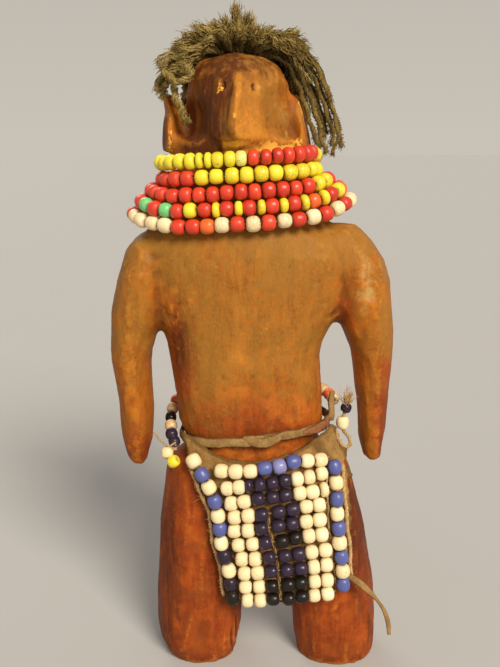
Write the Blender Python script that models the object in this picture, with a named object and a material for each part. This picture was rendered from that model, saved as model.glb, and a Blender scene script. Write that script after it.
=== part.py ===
"""Carved wooden doll with five bead strands, a beaded hide apron and a tuft of wool hair.

The doll faces -Y and stands on its soles at z = 0. All lengths are in metres.
The wood is a free carving: its tables are drawn in units of the figure's own height.
Beads, thong and hide have their own sizes and are laid against the finished wood.
"""

import math

import bmesh
import bpy
from mathutils import Vector
from mathutils.bvhtree import BVHTree

# Carved figure
FIGURE_HEIGHT = 0.2275
DRAWN_HEIGHT = 227.5
UNIT = FIGURE_HEIGHT / DRAWN_HEIGHT
FIGURE_TRIANGLES = 1960
GRAIN = 1.5 * UNIT
FIGURE_SMOOTHING = 3

# Beads and strands
NECK_BEAD_DIAMETER = 0.0052
NECK_BEAD_LENGTHS = [0.0042, 0.0050, 0.0046, 0.0043, 0.0050]
HIP_BEAD_DIAMETER = 0.0050
HIP_BEAD_LENGTH = 0.0042
HOLE_SHARE = 0.6
BEAD_SIDES = 5

# Apron
HIDE_THICKNESS = 0.0010
HIDE_GAP = 0.0016
APRON_BEAD_DIAMETER = 0.0050
APRON_BEAD_LENGTH = 0.0048
EDGE_BEAD_LENGTH = 0.0052
APRON_ROWS = 10
TAIL_WIDTH = 0.0042
TAIL_THICKNESS = 0.0014

# Thong, tie and hair
THONG_WIDTH = 0.0036
THONG_THICKNESS = 0.0016
KNOT_WIDTH = 0.0060
TIE_CORD_DIAMETER = 0.0014
TIE_BEAD_DIAMETER = 0.0048
TIE_BEAD_LENGTH = 0.0052
DROP_BEAD_DIAMETER = 0.0050
HAIR_TRIANGLES = 440
HAIR_GRAIN = 2.0 * UNIT
HAIR_SMOOTHING = 2
HAIR_GAP = 0.0018

# Gap between pieces that touch on the real doll, and between one round strand and the next
CLEARANCE = 0.0004
STRAND_GAP = 0.0001

# Carving tables. Every row is one level cut through the wood, from the soles up:
# height, x of the front ridge, width left and right of it, depth to the front and back,
# and the power of the front outline (1 is a wedge, 2 an ellipse, above 2 squarer).
HEAD_ROWS = [
    (185.0, -9.4, 20.0, 20.0, 14.0, 15.6, 2.0),
    (193.0, -9.4, 17.5, 17.5, 15.4, 17.0, 1.9),
    (195.6, -9.4, 16.8, 17.2, 17.4, 18.4, 1.6),
    (198.0, -9.8, 16.4, 17.4, 23.4, 19.5, 1.25),
    (203.0, -11.8, 14.4, 19.4, 24.4, 19.8, 1.15),
    (209.0, -11.0, 15.4, 18.6, 23.0, 20.0, 1.2),
    (214.5, -10.2, 15.8, 17.2, 20.8, 19.6, 1.3),
    (218.4, -10.0, 15.4, 15.3, 18.4, 18.4, 1.45),
    (222.4, -9.8, 13.8, 12.4, 14.4, 16.0, 1.7),
    (225.2, -9.6, 11.4, 9.6, 10.4, 12.5, 1.9),
    (227.0, -9.5, 7.0, 6.2, 6.0, 8.0, 2.0),
    (227.8, -9.5, 2.6, 2.4, 2.4, 3.0, 2.0),
]
LEFT_EAR_ROWS = [
    (193.6, -34.0, 3.0, 8.0, 6.5, 8.0, 1.0),
    (195.5, -34.8, 3.2, 9.0, 8.5, 9.5, 1.0),
    (201.5, -34.5, 3.2, 8.6, 9.0, 10.0, 1.0),
    (207.0, -33.8, 3.0, 6.4, 8.0, 9.5, 1.0),
    (211.5, -33.1, 2.4, 3.8, 6.0, 8.0, 1.0),
    (215.0, -32.8, 1.2, 1.4, 2.6, 4.5, 1.0),
]
RIGHT_EAR_ROWS = [
    (193.9, 12.8, 8.0, 2.6, 6.5, 8.0, 1.0),
    (196.0, 13.4, 8.0, 2.9, 9.0, 9.5, 1.0),
    (202.0, 12.2, 6.5, 2.9, 9.0, 10.0, 1.0),
    (208.5, 11.2, 5.5, 2.5, 8.0, 9.5, 1.0),
    (212.5, 10.9, 4.4, 1.9, 6.0, 8.0, 1.0),
    (214.6, 9.8, 2.4, 1.2, 3.0, 4.5, 1.0),
]
TRUNK_ROWS = [
    (56.0, -1.0, 15.0, 15.0, 8.0, 9.0, 2.0),
    (60.0, -1.2, 26.0, 26.0, 13.0, 14.5, 2.2),
    (68.0, -1.5, 33.0, 31.0, 16.6, 19.0, 2.3),
    (77.0, -2.5, 34.0, 31.5, 17.6, 20.5, 2.3),
    (84.0, -4.0, 29.0, 27.0, 17.6, 19.5, 2.3),
    (89.5, -5.4, 24.6, 25.4, 17.2, 17.5, 2.3),
    (95.0, -5.6, 27.0, 27.4, 18.0, 17.5, 2.3),
    (104.0, -6.2, 27.8, 27.8, 18.8, 18.0, 2.4),
    (122.0, -8.0, 28.4, 28.0, 18.8, 18.5, 2.4),
    (130.0, -7.6, 30.0, 30.5, 19.0, 19.0, 2.4),
    (140.0, -7.0, 35.0, 36.0, 19.6, 20.0, 2.4),
    (154.0, -7.0, 41.0, 41.5, 20.2, 20.4, 2.3),
    (161.0, -7.6, 40.5, 41.0, 20.0, 20.0, 2.2),
    (166.0, -8.0, 37.0, 36.5, 19.2, 19.4, 2.1),
    (170.0, -8.2, 32.0, 31.0, 18.0, 18.4, 2.0),
    (175.0, -8.6, 27.0, 26.0, 16.4, 17.2, 2.0),
    (181.0, -9.0, 23.6, 23.0, 15.2, 16.4, 2.0),
    (190.0, -9.4, 22.4, 22.2, 14.8, 16.2, 2.0),
    (199.0, -9.8, 22.0, 20.0, 15.5, 17.0, 2.0),
]
LEFT_ARM_ROWS = [
    (76.8, -48.6, 1.6, 1.6, 2.5, 2.5, 2.0),
    (79.0, -48.5, 3.6, 3.4, 5.5, 5.5, 2.0),
    (84.0, -48.5, 5.3, 4.9, 8.0, 8.0, 2.0),
    (91.0, -48.7, 6.1, 6.0, 9.0, 9.0, 2.0),
    (103.0, -48.9, 6.6, 6.5, 10.0, 10.0, 2.0),
    (112.0, -49.6, 7.2, 6.9, 11.0, 10.5, 2.0),
    (122.0, -49.8, 7.7, 7.3, 12.0, 11.5, 2.1),
    (131.5, -48.4, 9.2, 9.0, 13.5, 13.0, 2.1),
    (140.0, -46.6, 10.2, 12.0, 14.5, 14.0, 2.2),
    (152.0, -43.6, 10.4, 12.0, 14.8, 14.2, 2.2),
    (160.0, -41.0, 10.2, 12.0, 13.4, 13.0, 2.0),
    (164.5, -39.0, 9.0, 11.0, 11.0, 11.0, 2.0),
    (168.0, -37.0, 5.5, 8.0, 7.0, 7.0, 2.0),
]
RIGHT_ARM_ROWS = [
    (80.2, 40.9, 3.2, 3.1, 6.0, 6.0, 2.2),
    (81.5, 40.8, 3.6, 3.6, 6.8, 6.8, 2.2),
    (87.0, 40.4, 4.6, 4.6, 8.0, 8.0, 2.1),
    (95.0, 40.2, 5.3, 5.3, 9.0, 9.0, 2.0),
    (103.0, 40.3, 6.1, 6.1, 10.0, 10.0, 2.0),
    (112.0, 39.7, 6.9, 7.0, 11.0, 10.5, 2.0),
    (122.0, 39.1, 7.6, 7.9, 12.4, 11.8, 2.1),
    (131.0, 37.4, 9.6, 9.6, 13.8, 13.2, 2.1),
    (140.0, 36.0, 11.5, 10.3, 14.6, 14.0, 2.2),
    (152.0, 33.8, 11.5, 10.7, 14.8, 14.2, 2.2),
    (160.0, 30.8, 11.0, 10.0, 13.4, 13.0, 2.0),
    (166.0, 27.8, 9.0, 7.8, 10.6, 10.5, 2.0),
    (169.5, 26.5, 6.0, 5.0, 7.0, 7.0, 2.0),
]
LEFT_LEG_ROWS = [
    (-4.0, -24.2, 11.0, 11.5, 12.0, 12.0, 2.2),
    (0.0, -24.8, 14.2, 13.4, 15.0, 14.8, 2.3),
    (5.0, -25.8, 16.4, 15.6, 16.4, 16.2, 2.3),
    (11.0, -26.0, 17.2, 16.8, 17.0, 17.0, 2.3),
    (28.0, -25.6, 17.1, 17.0, 17.0, 17.2, 2.3),
    (45.0, -24.8, 17.0, 17.0, 16.8, 17.6, 2.3),
    (60.0, -23.0, 17.6, 17.0, 16.6, 18.2, 2.3),
    (72.0, -20.5, 18.6, 17.0, 16.8, 18.6, 2.2),
    (79.0, -18.5, 19.2, 16.0, 16.4, 17.6, 2.1),
    (84.0, -17.0, 16.5, 13.0, 14.0, 15.0, 2.0),
    (87.5, -16.0, 11.0, 9.0, 10.0, 10.0, 2.0),
]
RIGHT_LEG_ROWS = [
    (-4.0, 27.6, 13.0, 13.0, 13.5, 13.5, 2.2),
    (0.0, 27.8, 15.4, 15.4, 16.0, 15.6, 2.3),
    (5.0, 27.8, 16.6, 16.4, 16.8, 16.4, 2.3),
    (12.0, 27.4, 17.1, 17.1, 17.0, 17.0, 2.3),
    (24.0, 26.6, 17.0, 17.0, 17.0, 17.2, 2.3),
    (38.0, 25.0, 16.8, 16.7, 16.8, 17.4, 2.3),
    (52.0, 22.8, 16.6, 16.7, 16.6, 17.8, 2.3),
    (62.0, 20.0, 16.8, 16.8, 16.6, 18.2, 2.3),
    (72.0, 16.2, 16.8, 17.6, 16.8, 18.4, 2.2),
    (79.0, 13.4, 15.0, 17.8, 16.4, 17.4, 2.1),
    (84.0, 12.0, 12.0, 15.0, 14.0, 15.0, 2.0),
    (87.5, 11.0, 9.0, 10.0, 10.0, 10.0, 2.0),
]
BACK_POWER = 2.2
# Rows per loft, points round each level cut, and how far back the ears and arms sit
LOFTS = [
    (HEAD_ROWS, 40, 0.0),
    (LEFT_EAR_ROWS, 20, 4.0),
    (RIGHT_EAR_ROWS, 20, 4.0),
    (TRUNK_ROWS, 40, 0.0),
    (LEFT_ARM_ROWS, 28, 0.0),
    (RIGHT_ARM_ROWS, 28, 0.0),
    (LEFT_LEG_ROWS, 32, 0.0),
    (RIGHT_LEG_ROWS, 32, 0.0),
]

# Necklace: the top strand hangs on the neck, and each next strand lies against it.
TOP_STRAND_CENTRE = (-10.6, 0.0, 192.4)
TOP_STRAND_HALF_WIDTH = 26.4
TOP_STRAND_FRONT = 19.4
TOP_STRAND_BACK = 20.4
STRAND_ROLL = 0.064
STRAND_POINTS = 120
STRAND_PASSES = 4
# Power of each strand's plan outline (2 is an ellipse, above 2 squarer)
STRAND_POWERS = [2.7, 2.6, 2.35, 2.2, 2.0]
# Steps to the next strand in bead diameters: x shift, outward and down at the sides,
# outward and down in front, outward and down at the back.
STRAND_STEPS = [
    (0.12, 0.10, 0.96, 0.02, 0.98, 0.04, 0.95),
    (0.06, 0.72, 0.74, 0.08, 1.02, 0.10, 0.95),
    (0.04, 0.84, 0.70, 0.16, 1.04, 0.20, 0.95),
    (0.10, 0.70, 0.88, 0.24, 1.10, 0.26, 0.95),
]

# Wool tufts: centre and half sizes of each soft clump
HAIR_CLUMPS = [
    (-8.0, 7.0, 230.0, 17.0, 12.0, 8.5),
    (-11.0, 7.0, 237.5, 9.0, 8.0, 7.0),
    (-19.0, 6.0, 232.0, 10.0, 10.0, 7.5),
    (-27.5, 6.0, 226.0, 9.0, 9.5, 7.5),
    (-33.5, 5.0, 218.5, 5.6, 8.0, 7.5),
    (5.0, 6.0, 230.5, 11.0, 10.0, 6.5),
    (12.0, 6.0, 226.5, 6.5, 8.5, 7.0),
    (17.0, 7.5, 217.0, 5.5, 8.0, 8.5),
    (20.5, 8.0, 208.0, 5.2, 8.0, 8.5),
    (23.2, 7.0, 200.0, 3.6, 6.5, 7.2),
    (-8.0, 17.0, 222.0, 20.0, 8.0, 9.5),
    (-8.0, 22.0, 211.0, 17.0, 5.5, 10.0),
]

# Apron hide in front view, from the hip straps down: corner and edge points as x, z
HIDE_TOP = [(-30.5, 95.0), (-22.0, 90.0), (-14.0, 87.2), (-4.0, 86.8), (8.0, 90.2), (18.0, 93.0), (22.5, 98.0)]
HIDE_LEFT = [(-30.5, 95.0), (-29.5, 88.0), (-25.5, 78.5), (-21.6, 68.0), (-19.4, 55.0), (-16.6, 42.0), (-15.6, 30.6)]
HIDE_RIGHT = [(22.5, 98.0), (26.5, 90.5), (28.8, 80.0), (29.8, 67.0), (30.8, 54.0), (31.6, 45.0), (32.0, 36.6)]
HIDE_BOTTOM = [(-15.6, 30.6), (-2.0, 29.6), (14.0, 31.0), (32.0, 36.6)]
HIDE_COLUMNS = 9
HIDE_LEVELS = 10
HIDE_TOP_DEPTH = 19.6
HIDE_TOP_WRAP = 8.5
HIDE_LOW_WRAP = 2.2
HIDE_CENTRE = (-4.0, 6.0)
HIDE_HEIGHTS = (92.0, 32.0)
HIDE_HALF_SPAN = 28.0

# Bead rows: points along a row and an edge, then x and z of the first and last bead in the top and bottom row
ROW_STEPS = 8
EDGE_STEPS = 24
TOP_ROW = ((-16.1, 83.0), (19.0, 85.6))
BOTTOM_ROW = ((-6.9, 32.6), (22.6, 34.8))
LEFT_EDGE = [(-26.4, 86.4), (-23.2, 81.2), (-20.6, 75.0), (-18.2, 66.0), (-16.8, 57.0), (-14.6, 46.5), (-13.0, 33.4)]
RIGHT_EDGE = [(24.4, 82.4), (24.7, 75.0), (25.4, 65.4), (26.6, 53.8), (28.0, 43.6), (28.7, 37.2)]

# Free routes: x, y, z of the points that each one passes through
THONG_HEIGHTS = (93.5, 0.105)
THONG_CENTRE_X = -6.0
THONG_REACH = 27.0
THONG_POINTS = 30
KNOT_ANGLE = 1.56 * math.pi
KNOT_SPREAD = 0.16
KNOT_SWELL = 0.5
HIP_STRING = [(-33.5, -10.5, 88.4), (-36.0, -3.0, 92.0), (-36.0, 5.0, 97.5), (-31.0, 13.0, 102.5),
              (-20.0, 18.0, 106.0), (-6.0, 20.0, 107.0), (8.0, 18.0, 106.5), (19.0, 12.0, 105.0),
              (24.0, 5.0, 104.0), (25.6, -2.0, 103.0)]
HIP_STEPS = 48
TIE_ROUTE = [(31.4, -5.0, 107.0), (30.2, -5.0, 102.5), (29.0, -5.0, 98.0), (28.8, -5.0, 93.0),
             (31.0, -5.6, 90.0), (31.6, -6.4, 87.4), (29.6, -8.0, 86.8), (26.6, -9.6, 90.6), (26.0, -10.0, 94.4)]
TIE_BEAD_PLACE = 0.31
TIE_STEPS = 18
TIE_SAMPLES = 60
DROP_ROUTE = [(-34.6, -15.0, 91.6), (-36.4, -14.6, 90.4), (-38.2, -14.4, 88.4), (-38.2, -15.6, 86.2), (-35.6, -17.2, 83.6)]
DROP_RADII = [0.12, 0.12, 0.12, 1.0, 1.0, 0.2, 1.0, 1.0, 0.2]
TAIL_ROUTE = [(33.0, -22.4, 39.4), (36.5, -22.6, 37.2), (40.5, -22.4, 33.0), (44.0, -21.6, 27.5),
              (46.0, -20.8, 21.5), (46.6, -20.4, 16.5)]
TAIL_END_SHARE = 0.35
TAIL_STEPS = 9


def clear_scene():
    for item in list(bpy.data.objects):
        bpy.data.objects.remove(item, do_unlink=True)


def plain_material(name, colour, roughness):
    material = bpy.data.materials.new(name)
    material.use_nodes = True
    shader = material.node_tree.nodes["Principled BSDF"]
    shader.inputs["Base Color"].default_value = (*colour, 1.0)
    shader.inputs["Roughness"].default_value = roughness
    shader.inputs["Metallic"].default_value = 0.0
    material.diffuse_color = (*colour, 1.0)
    return material


def mesh_object(name, vertices, faces, material=None):
    mesh = bpy.data.meshes.new(name)
    mesh.from_pydata(vertices, [], faces)
    work = bmesh.new()
    work.from_mesh(mesh)
    bmesh.ops.recalc_face_normals(work, faces=work.faces)
    work.to_mesh(mesh)
    work.free()
    if material:
        mesh.materials.append(material)
        mesh.shade_smooth()
    item = bpy.data.objects.new(name, mesh)
    bpy.context.scene.collection.objects.link(item)
    return item


def bake_modifiers(item):
    """Replace an object's mesh by what its modifiers make of it."""
    bpy.context.view_layer.update()
    graph = bpy.context.evaluated_depsgraph_get()
    mesh = bpy.data.meshes.new_from_object(item.evaluated_get(graph))
    item.modifiers.clear()
    item.data = mesh


def curve_value(points, place):
    """Catmull-Rom value at place (0 to 1) on a list of equal-length tuples."""
    spans = len(points) - 1
    at = min(max(place, 0.0), 1.0) * spans
    index = min(int(at), spans - 1)
    t = at - index
    before = points[max(index - 1, 0)]
    start = points[index]
    end = points[index + 1]
    after = points[min(index + 2, spans)]
    value = []
    for a, b, c, d in zip(before, start, end, after):
        bend = (2 * a - 5 * b + 4 * c - d) * t * t
        twist = (3 * b - a - 3 * c + d) * t * t * t
        value.append(0.5 * (2 * b + (c - a) * t + bend + twist))
    return tuple(value)


def even_points(points, count, closed=False):
    """The same polyline with count points at equal steps along its length."""
    ring = list(points) + ([points[0]] if closed else [])
    reach = [0.0]
    for start, end in zip(ring, ring[1:]):
        reach.append(reach[-1] + (end - start).length)
    steps = count if closed else count - 1
    result = []
    segment = 0
    for number in range(count):
        target = reach[-1] * number / steps
        while segment < len(ring) - 2 and reach[segment + 1] < target:
            segment += 1
        span = max(reach[segment + 1] - reach[segment], 1e-9)
        result.append(ring[segment].lerp(ring[segment + 1], (target - reach[segment]) / span))
    return result


def path_length(points, closed=False):
    ring = list(points) + ([points[0]] if closed else [])
    return sum((end - start).length for start, end in zip(ring, ring[1:]))


def level_cut(row, sides, shift_back, grow):
    """Points of one level cut, counted round from the viewer's right; grow lifts and widens it."""
    height, ridge, left, right, front, back, power = row
    points = []
    for number in range(sides):
        angle = 2 * math.pi * number / sides
        across, along = math.cos(angle), math.sin(angle)
        exponent = 2.0 / (power if along < 0 else BACK_POWER)
        width = (right if across > 0 else left) + grow
        depth = (front if along < 0 else back) + grow
        x = ridge + math.copysign(width * abs(across) ** exponent, across)
        y = shift_back + math.copysign(depth * abs(along) ** exponent, along)
        points.append((x * UNIT, y * UNIT, (height + grow) * UNIT))
    return points


def loft(rows, sides, shift_back, grow=0.0):
    """Vertices and faces of a closed loft through the level cuts."""
    levels = 2 * (len(rows) - 1) + 1
    vertices = []
    for level in range(levels):
        row = curve_value(rows, level / (levels - 1))
        vertices += level_cut(row, sides, shift_back, grow)
    faces = [tuple(range(sides))[::-1]]
    for level in range(levels - 1):
        low, high = level * sides, (level + 1) * sides
        for number in range(sides):
            after = (number + 1) % sides
            faces.append((low + number, low + after, high + after, high + number))
    faces.append(tuple(range((levels - 1) * sides, levels * sides)))
    return vertices, faces


def melt(item, voxel, smoothing):
    """Melt overlapping shells into one worn skin."""
    remesh = item.modifiers.new("melt", "REMESH")
    remesh.mode = "VOXEL"
    remesh.voxel_size = voxel
    smooth = item.modifiers.new("wear", "SMOOTH")
    smooth.factor = 0.5
    smooth.iterations = round(smoothing)
    bake_modifiers(item)


def thin_out(item, triangles):
    """Thin a skin to about a triangle count."""
    count = sum(len(face.vertices) - 2 for face in item.data.polygons)
    thin = item.modifiers.new("thin", "DECIMATE")
    thin.ratio = min(1.0, triangles / count)
    bake_modifiers(item)


def cut_flat_below(item, height):
    work = bmesh.new()
    work.from_mesh(item.data)
    geometry = work.verts[:] + work.edges[:] + work.faces[:]
    cut = bmesh.ops.bisect_plane(
        work, geom=geometry, dist=1e-6, plane_co=(0, 0, height), plane_no=(0, 0, 1), clear_inner=True)
    rim = [part for part in cut["geom_cut"] if isinstance(part, bmesh.types.BMEdge)]
    bmesh.ops.edgenet_fill(work, edges=rim)
    bmesh.ops.recalc_face_normals(work, faces=work.faces)
    work.to_mesh(item.data)
    work.free()


def make_figure(material):
    vertices, faces = [], []
    for rows, sides, shift_back in LOFTS:
        more_vertices, more_faces = loft(rows, sides, shift_back)
        offset = len(vertices)
        vertices += more_vertices
        faces += [tuple(index + offset for index in face) for face in more_faces]
    figure = mesh_object("carved_figure", vertices, faces)
    melt(figure, GRAIN, FIGURE_SMOOTHING)
    thin_out(figure, FIGURE_TRIANGLES)
    cut_flat_below(figure, 0.0)
    figure.data.materials.append(material)
    figure.data.shade_smooth()
    return figure


def surface_of(*items):
    """Search tree over the faces of some pieces."""
    vertices, faces = [], []
    for item in items:
        offset = len(vertices)
        vertices += [vertex.co.copy() for vertex in item.data.vertices]
        faces += [[index + offset for index in face.vertices] for face in item.data.polygons]
    return BVHTree.FromPolygons(vertices, faces)


def push_clear(point, surface, distance):
    """Move a point out of the wood until it is the given distance away."""
    for _ in range(6):
        nearest, normal, _, _ = surface.find_nearest(point)
        gap = (point - nearest).dot(normal)
        reach = (point - nearest).length
        if gap > 0 and reach >= distance:
            break
        away = (point - nearest).normalized() if gap > 0 and reach > 1e-6 else normal
        point = nearest + away * distance
    return point


def push_apart(point, others, distance):
    nearest = min(others, key=lambda other: (other - point).length_squared)
    offset = point - nearest
    if offset.length < distance:
        point = nearest + offset.normalized() * distance
    return point


def sweep(name, points, outward, radii, sides, closed, material):
    """Closed body along a path; radii are pairs, outward and across."""
    vertices, faces = [], []
    count = len(points)
    for number, (point, out, (thick, wide)) in enumerate(zip(points, outward, radii)):
        after = points[(number + 1) % count] if closed else points[min(number + 1, count - 1)]
        before = points[number - 1] if closed else points[max(number - 1, 0)]
        along = (after - before).normalized()
        side = (out - along * out.dot(along)).normalized()
        cross = along.cross(side)
        for turn in range(sides):
            angle = 2 * math.pi * turn / sides
            vertices.append(point + side * thick * math.cos(angle) + cross * wide * math.sin(angle))
    for number in range(count if closed else count - 1):
        low, high = number * sides, (number + 1) % count * sides
        for turn in range(sides):
            after = (turn + 1) % sides
            faces.append((low + turn, low + after, high + after, high + turn))
    if not closed:
        faces.append(tuple(range(sides))[::-1])
        faces.append(tuple(range((count - 1) * sides, count * sides)))
    return mesh_object(name, vertices, faces, material)


def bead_string(name, path, diameter, length, closed, material, outward):
    """Beads along a path, fused to one body: a full ring in each bead and a thin one between."""
    beads = max(2, round(path_length(path, closed) / length))
    stations = even_points(path, 2 * beads if closed else 2 * beads + 1, closed)
    radii = []
    for number in range(len(stations)):
        radius = diameter / 2 * (1.0 if number % 2 else HOLE_SHARE)
        radii.append((radius, radius))
    out = [outward(station) for station in stations]
    return sweep(name, stations, out, radii, BEAD_SIDES, closed, material)


def from_axis(point):
    centre = Vector((TOP_STRAND_CENTRE[0] * UNIT, 0.0, point.z))
    return (point - centre).normalized()


def to_front(_point):
    return Vector((0.0, -1.0, 0.0))


def strand_path(number, bead, surface, upper):
    """Centre line of one necklace strand, pushed clear of the wood and of the strand above."""
    x, y, z = [value * UNIT for value in TOP_STRAND_CENTRE]
    half_width = TOP_STRAND_HALF_WIDTH * UNIT
    front, back = TOP_STRAND_FRONT * UNIT, TOP_STRAND_BACK * UNIT
    front_drop = back_drop = 0.0
    for shift, side_out, side_down, front_out, front_down, back_out, back_down in STRAND_STEPS[:number]:
        x += shift * bead
        z -= side_down * bead
        half_width += side_out * bead
        front += front_out * bead
        back += back_out * bead
        front_drop += (front_down - side_down) * bead
        back_drop += (back_down - side_down) * bead
    points = []
    for step in range(STRAND_POINTS):
        angle = 2 * math.pi * step / STRAND_POINTS
        exponent = 2.0 / STRAND_POWERS[number]
        across = math.copysign(abs(math.cos(angle)) ** exponent, math.cos(angle))
        along = math.copysign(abs(math.sin(angle)) ** exponent, math.sin(angle))
        depth, drop = (front, front_drop) if along < 0 else (back, back_drop)
        height = z + STRAND_ROLL * half_width * across - drop * along ** 4
        point = Vector((x + half_width * across, y + depth * along, height))
        for _ in range(STRAND_PASSES):
            if upper:
                point = push_apart(point, upper, bead + STRAND_GAP)
            point = push_clear(point, surface, bead / 2 + CLEARANCE)
        points.append(point)
    return points


def make_necklace(surface, materials):
    upper = None
    for number, bead_length in enumerate(NECK_BEAD_LENGTHS):
        path = strand_path(number, NECK_BEAD_DIAMETER, surface, upper)
        bead_string(
            f"necklace_strand_{number + 1}", path, NECK_BEAD_DIAMETER, bead_length, True,
            materials[number], from_axis)
        upper = path


def hide_place(u, v):
    """Front-view x and z on the hide; u runs across and v down, in drawn units."""
    top, bottom = curve_value(HIDE_TOP, u), curve_value(HIDE_BOTTOM, u)
    left, right = curve_value(HIDE_LEFT, v), curve_value(HIDE_RIGHT, v)
    corners = (HIDE_TOP[0], HIDE_TOP[-1], HIDE_BOTTOM[0], HIDE_BOTTOM[-1])
    place = []
    for axis in range(2):
        ruled = (1 - v) * top[axis] + v * bottom[axis] + (1 - u) * left[axis] + u * right[axis]
        low = (1 - u) * corners[2][axis] + u * corners[3][axis]
        high = (1 - u) * corners[0][axis] + u * corners[1][axis]
        place.append(ruled - (1 - v) * high - v * low)
    return place


def hide_back(x, z):
    """y of the hide's inner face, wrapped round the belly above and nearly flat below."""
    down = min(max((HIDE_HEIGHTS[0] - z) / (HIDE_HEIGHTS[0] - HIDE_HEIGHTS[1]), 0.0), 1.0)
    centre = HIDE_CENTRE[0] + (HIDE_CENTRE[1] - HIDE_CENTRE[0]) * down
    wrap = HIDE_TOP_WRAP + (HIDE_LOW_WRAP - HIDE_TOP_WRAP) * down
    return (-HIDE_TOP_DEPTH + wrap * ((x - centre) / HIDE_HALF_SPAN) ** 2) * UNIT


def hide_point(x, z, distance, surface):
    """A point a set distance in front of the hide's inner face, clear of the wood."""
    inner = Vector((x * UNIT, hide_back(x, z), z * UNIT))
    inner = push_clear(inner, surface, HIDE_GAP)
    return inner + Vector((0.0, -distance, 0.0))


def make_hide(surface, material):
    vertices, faces = [], []
    for distance in (0.0, HIDE_THICKNESS):
        for level in range(HIDE_LEVELS + 1):
            for column in range(HIDE_COLUMNS + 1):
                x, z = hide_place(column / HIDE_COLUMNS, level / HIDE_LEVELS)
                vertices.append(hide_point(x, z, distance, surface))
    width = HIDE_COLUMNS + 1
    sheet = width * (HIDE_LEVELS + 1)
    for level in range(HIDE_LEVELS):
        for column in range(HIDE_COLUMNS):
            corner = level * width + column
            quad = (corner, corner + 1, corner + width + 1, corner + width)
            faces.append(quad)
            faces.append(tuple(sheet + index for index in reversed(quad)))
    rim = list(range(width)) + [level * width + HIDE_COLUMNS for level in range(1, HIDE_LEVELS + 1)]
    rim += [HIDE_LEVELS * width + column for column in range(HIDE_COLUMNS - 1, -1, -1)]
    rim += [level * width for level in range(HIDE_LEVELS - 1, 0, -1)]
    for start, end in zip(rim, rim[1:] + rim[:1]):
        faces.append((start, end, end + sheet, start + sheet))
    return mesh_object("apron_hide", vertices, faces, material)


def apron_path(points, surface, hide_surface):
    """Bead centres in front of the hide, through points given as x and z."""
    reach = CLEARANCE + APRON_BEAD_DIAMETER / 2
    path = [hide_point(x, z, HIDE_THICKNESS + reach, surface) for x, z in points]
    return [push_clear(point, hide_surface, reach) for point in path]


def make_apron_beads(surface, hide_surface, materials):
    for row in range(APRON_ROWS):
        down = row / (APRON_ROWS - 1)
        ends = []
        for top, bottom in zip(TOP_ROW, BOTTOM_ROW):
            ends.append((top[0] + (bottom[0] - top[0]) * down, top[1] + (bottom[1] - top[1]) * down))
        (x0, z0), (x1, z1) = ends
        half = APRON_BEAD_LENGTH / 2 / UNIT
        line = []
        for step in range(ROW_STEPS + 1):
            share = step / ROW_STEPS
            line.append((x0 - half + (x1 - x0 + 2 * half) * share, z0 + (z1 - z0) * share))
        bead_string(
            f"apron_row_{row + 1:02d}", apron_path(line, surface, hide_surface), APRON_BEAD_DIAMETER,
            APRON_BEAD_LENGTH, False, materials[0], to_front)
    for name, edge in (("apron_edge_left", LEFT_EDGE), ("apron_edge_right", RIGHT_EDGE)):
        line = [curve_value(edge, step / EDGE_STEPS) for step in range(EDGE_STEPS + 1)]
        bead_string(
            name, apron_path(line, surface, hide_surface), APRON_BEAD_DIAMETER, EDGE_BEAD_LENGTH, False,
            materials[1], to_front)


def make_tail(material):
    path, radii = [], []
    for step in range(TAIL_STEPS + 1):
        path.append(Vector(curve_value(TAIL_ROUTE, step / TAIL_STEPS)) * UNIT)
        share = 1.0 - (1.0 - TAIL_END_SHARE) * step / TAIL_STEPS
        radii.append((TAIL_THICKNESS / 2, TAIL_WIDTH / 2 * share))
    sweep("apron_tail_strip", path, [to_front(p) for p in path], radii, 6, False, material)


def make_thong(surface, material):
    """A flat thong round the waist, thicker at the knot in front."""
    points, out, radii = [], [], []
    height, slope = THONG_HEIGHTS
    for step in range(THONG_POINTS):
        angle = 2 * math.pi * step / THONG_POINTS
        away = Vector((math.cos(angle), math.sin(angle), 0.0))
        level = height + slope * THONG_REACH * away.x
        centre = Vector((THONG_CENTRE_X * UNIT, 0.0, level * UNIT))
        hit = surface.ray_cast(centre, away)[0]
        points.append(push_clear(hit + away * THONG_THICKNESS, surface, THONG_THICKNESS / 2 + CLEARANCE))
        out.append(away)
        bump = math.exp(-((angle - KNOT_ANGLE) / KNOT_SPREAD) ** 2)
        thick = THONG_THICKNESS / 2 * (1 + KNOT_SWELL * bump)
        radii.append((thick, THONG_WIDTH / 2 + (KNOT_WIDTH - THONG_WIDTH) / 2 * bump))
    for number, (thick, wide) in enumerate(radii):
        points[number] = push_clear(points[number], surface, thick + CLEARANCE)
    return sweep("waist_thong", points, out, radii, 6, True, material)


def make_hip_string(surface, material):
    path = []
    for step in range(HIP_STEPS + 1):
        point = Vector(curve_value(HIP_STRING, step / HIP_STEPS)) * UNIT
        path.append(push_clear(point, surface, HIP_BEAD_DIAMETER / 2 + CLEARANCE))
    bead_string("hip_bead_string", path, HIP_BEAD_DIAMETER, HIP_BEAD_LENGTH, False, material, from_axis)


def make_tie(material):
    """The knotted cord at the hip, with the bead that is threaded on it."""
    route = [Vector(curve_value(TIE_ROUTE, step / TIE_SAMPLES)) * UNIT for step in range(TIE_SAMPLES + 1)]
    path = even_points(route, TIE_STEPS + 1)
    middle = round(TIE_BEAD_PLACE * TIE_STEPS)
    half = max(1, round(TIE_BEAD_LENGTH / 2 / path_length(path) * TIE_STEPS))
    radii = []
    for number in range(TIE_STEPS + 1):
        bead = abs(number - middle) < half
        radius = (TIE_BEAD_DIAMETER if bead else TIE_CORD_DIAMETER) / 2
        radii.append((radius, radius))
    sweep("hip_tie_cord", path, [to_front(p) for p in path], radii, 5, False, material)


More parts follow.
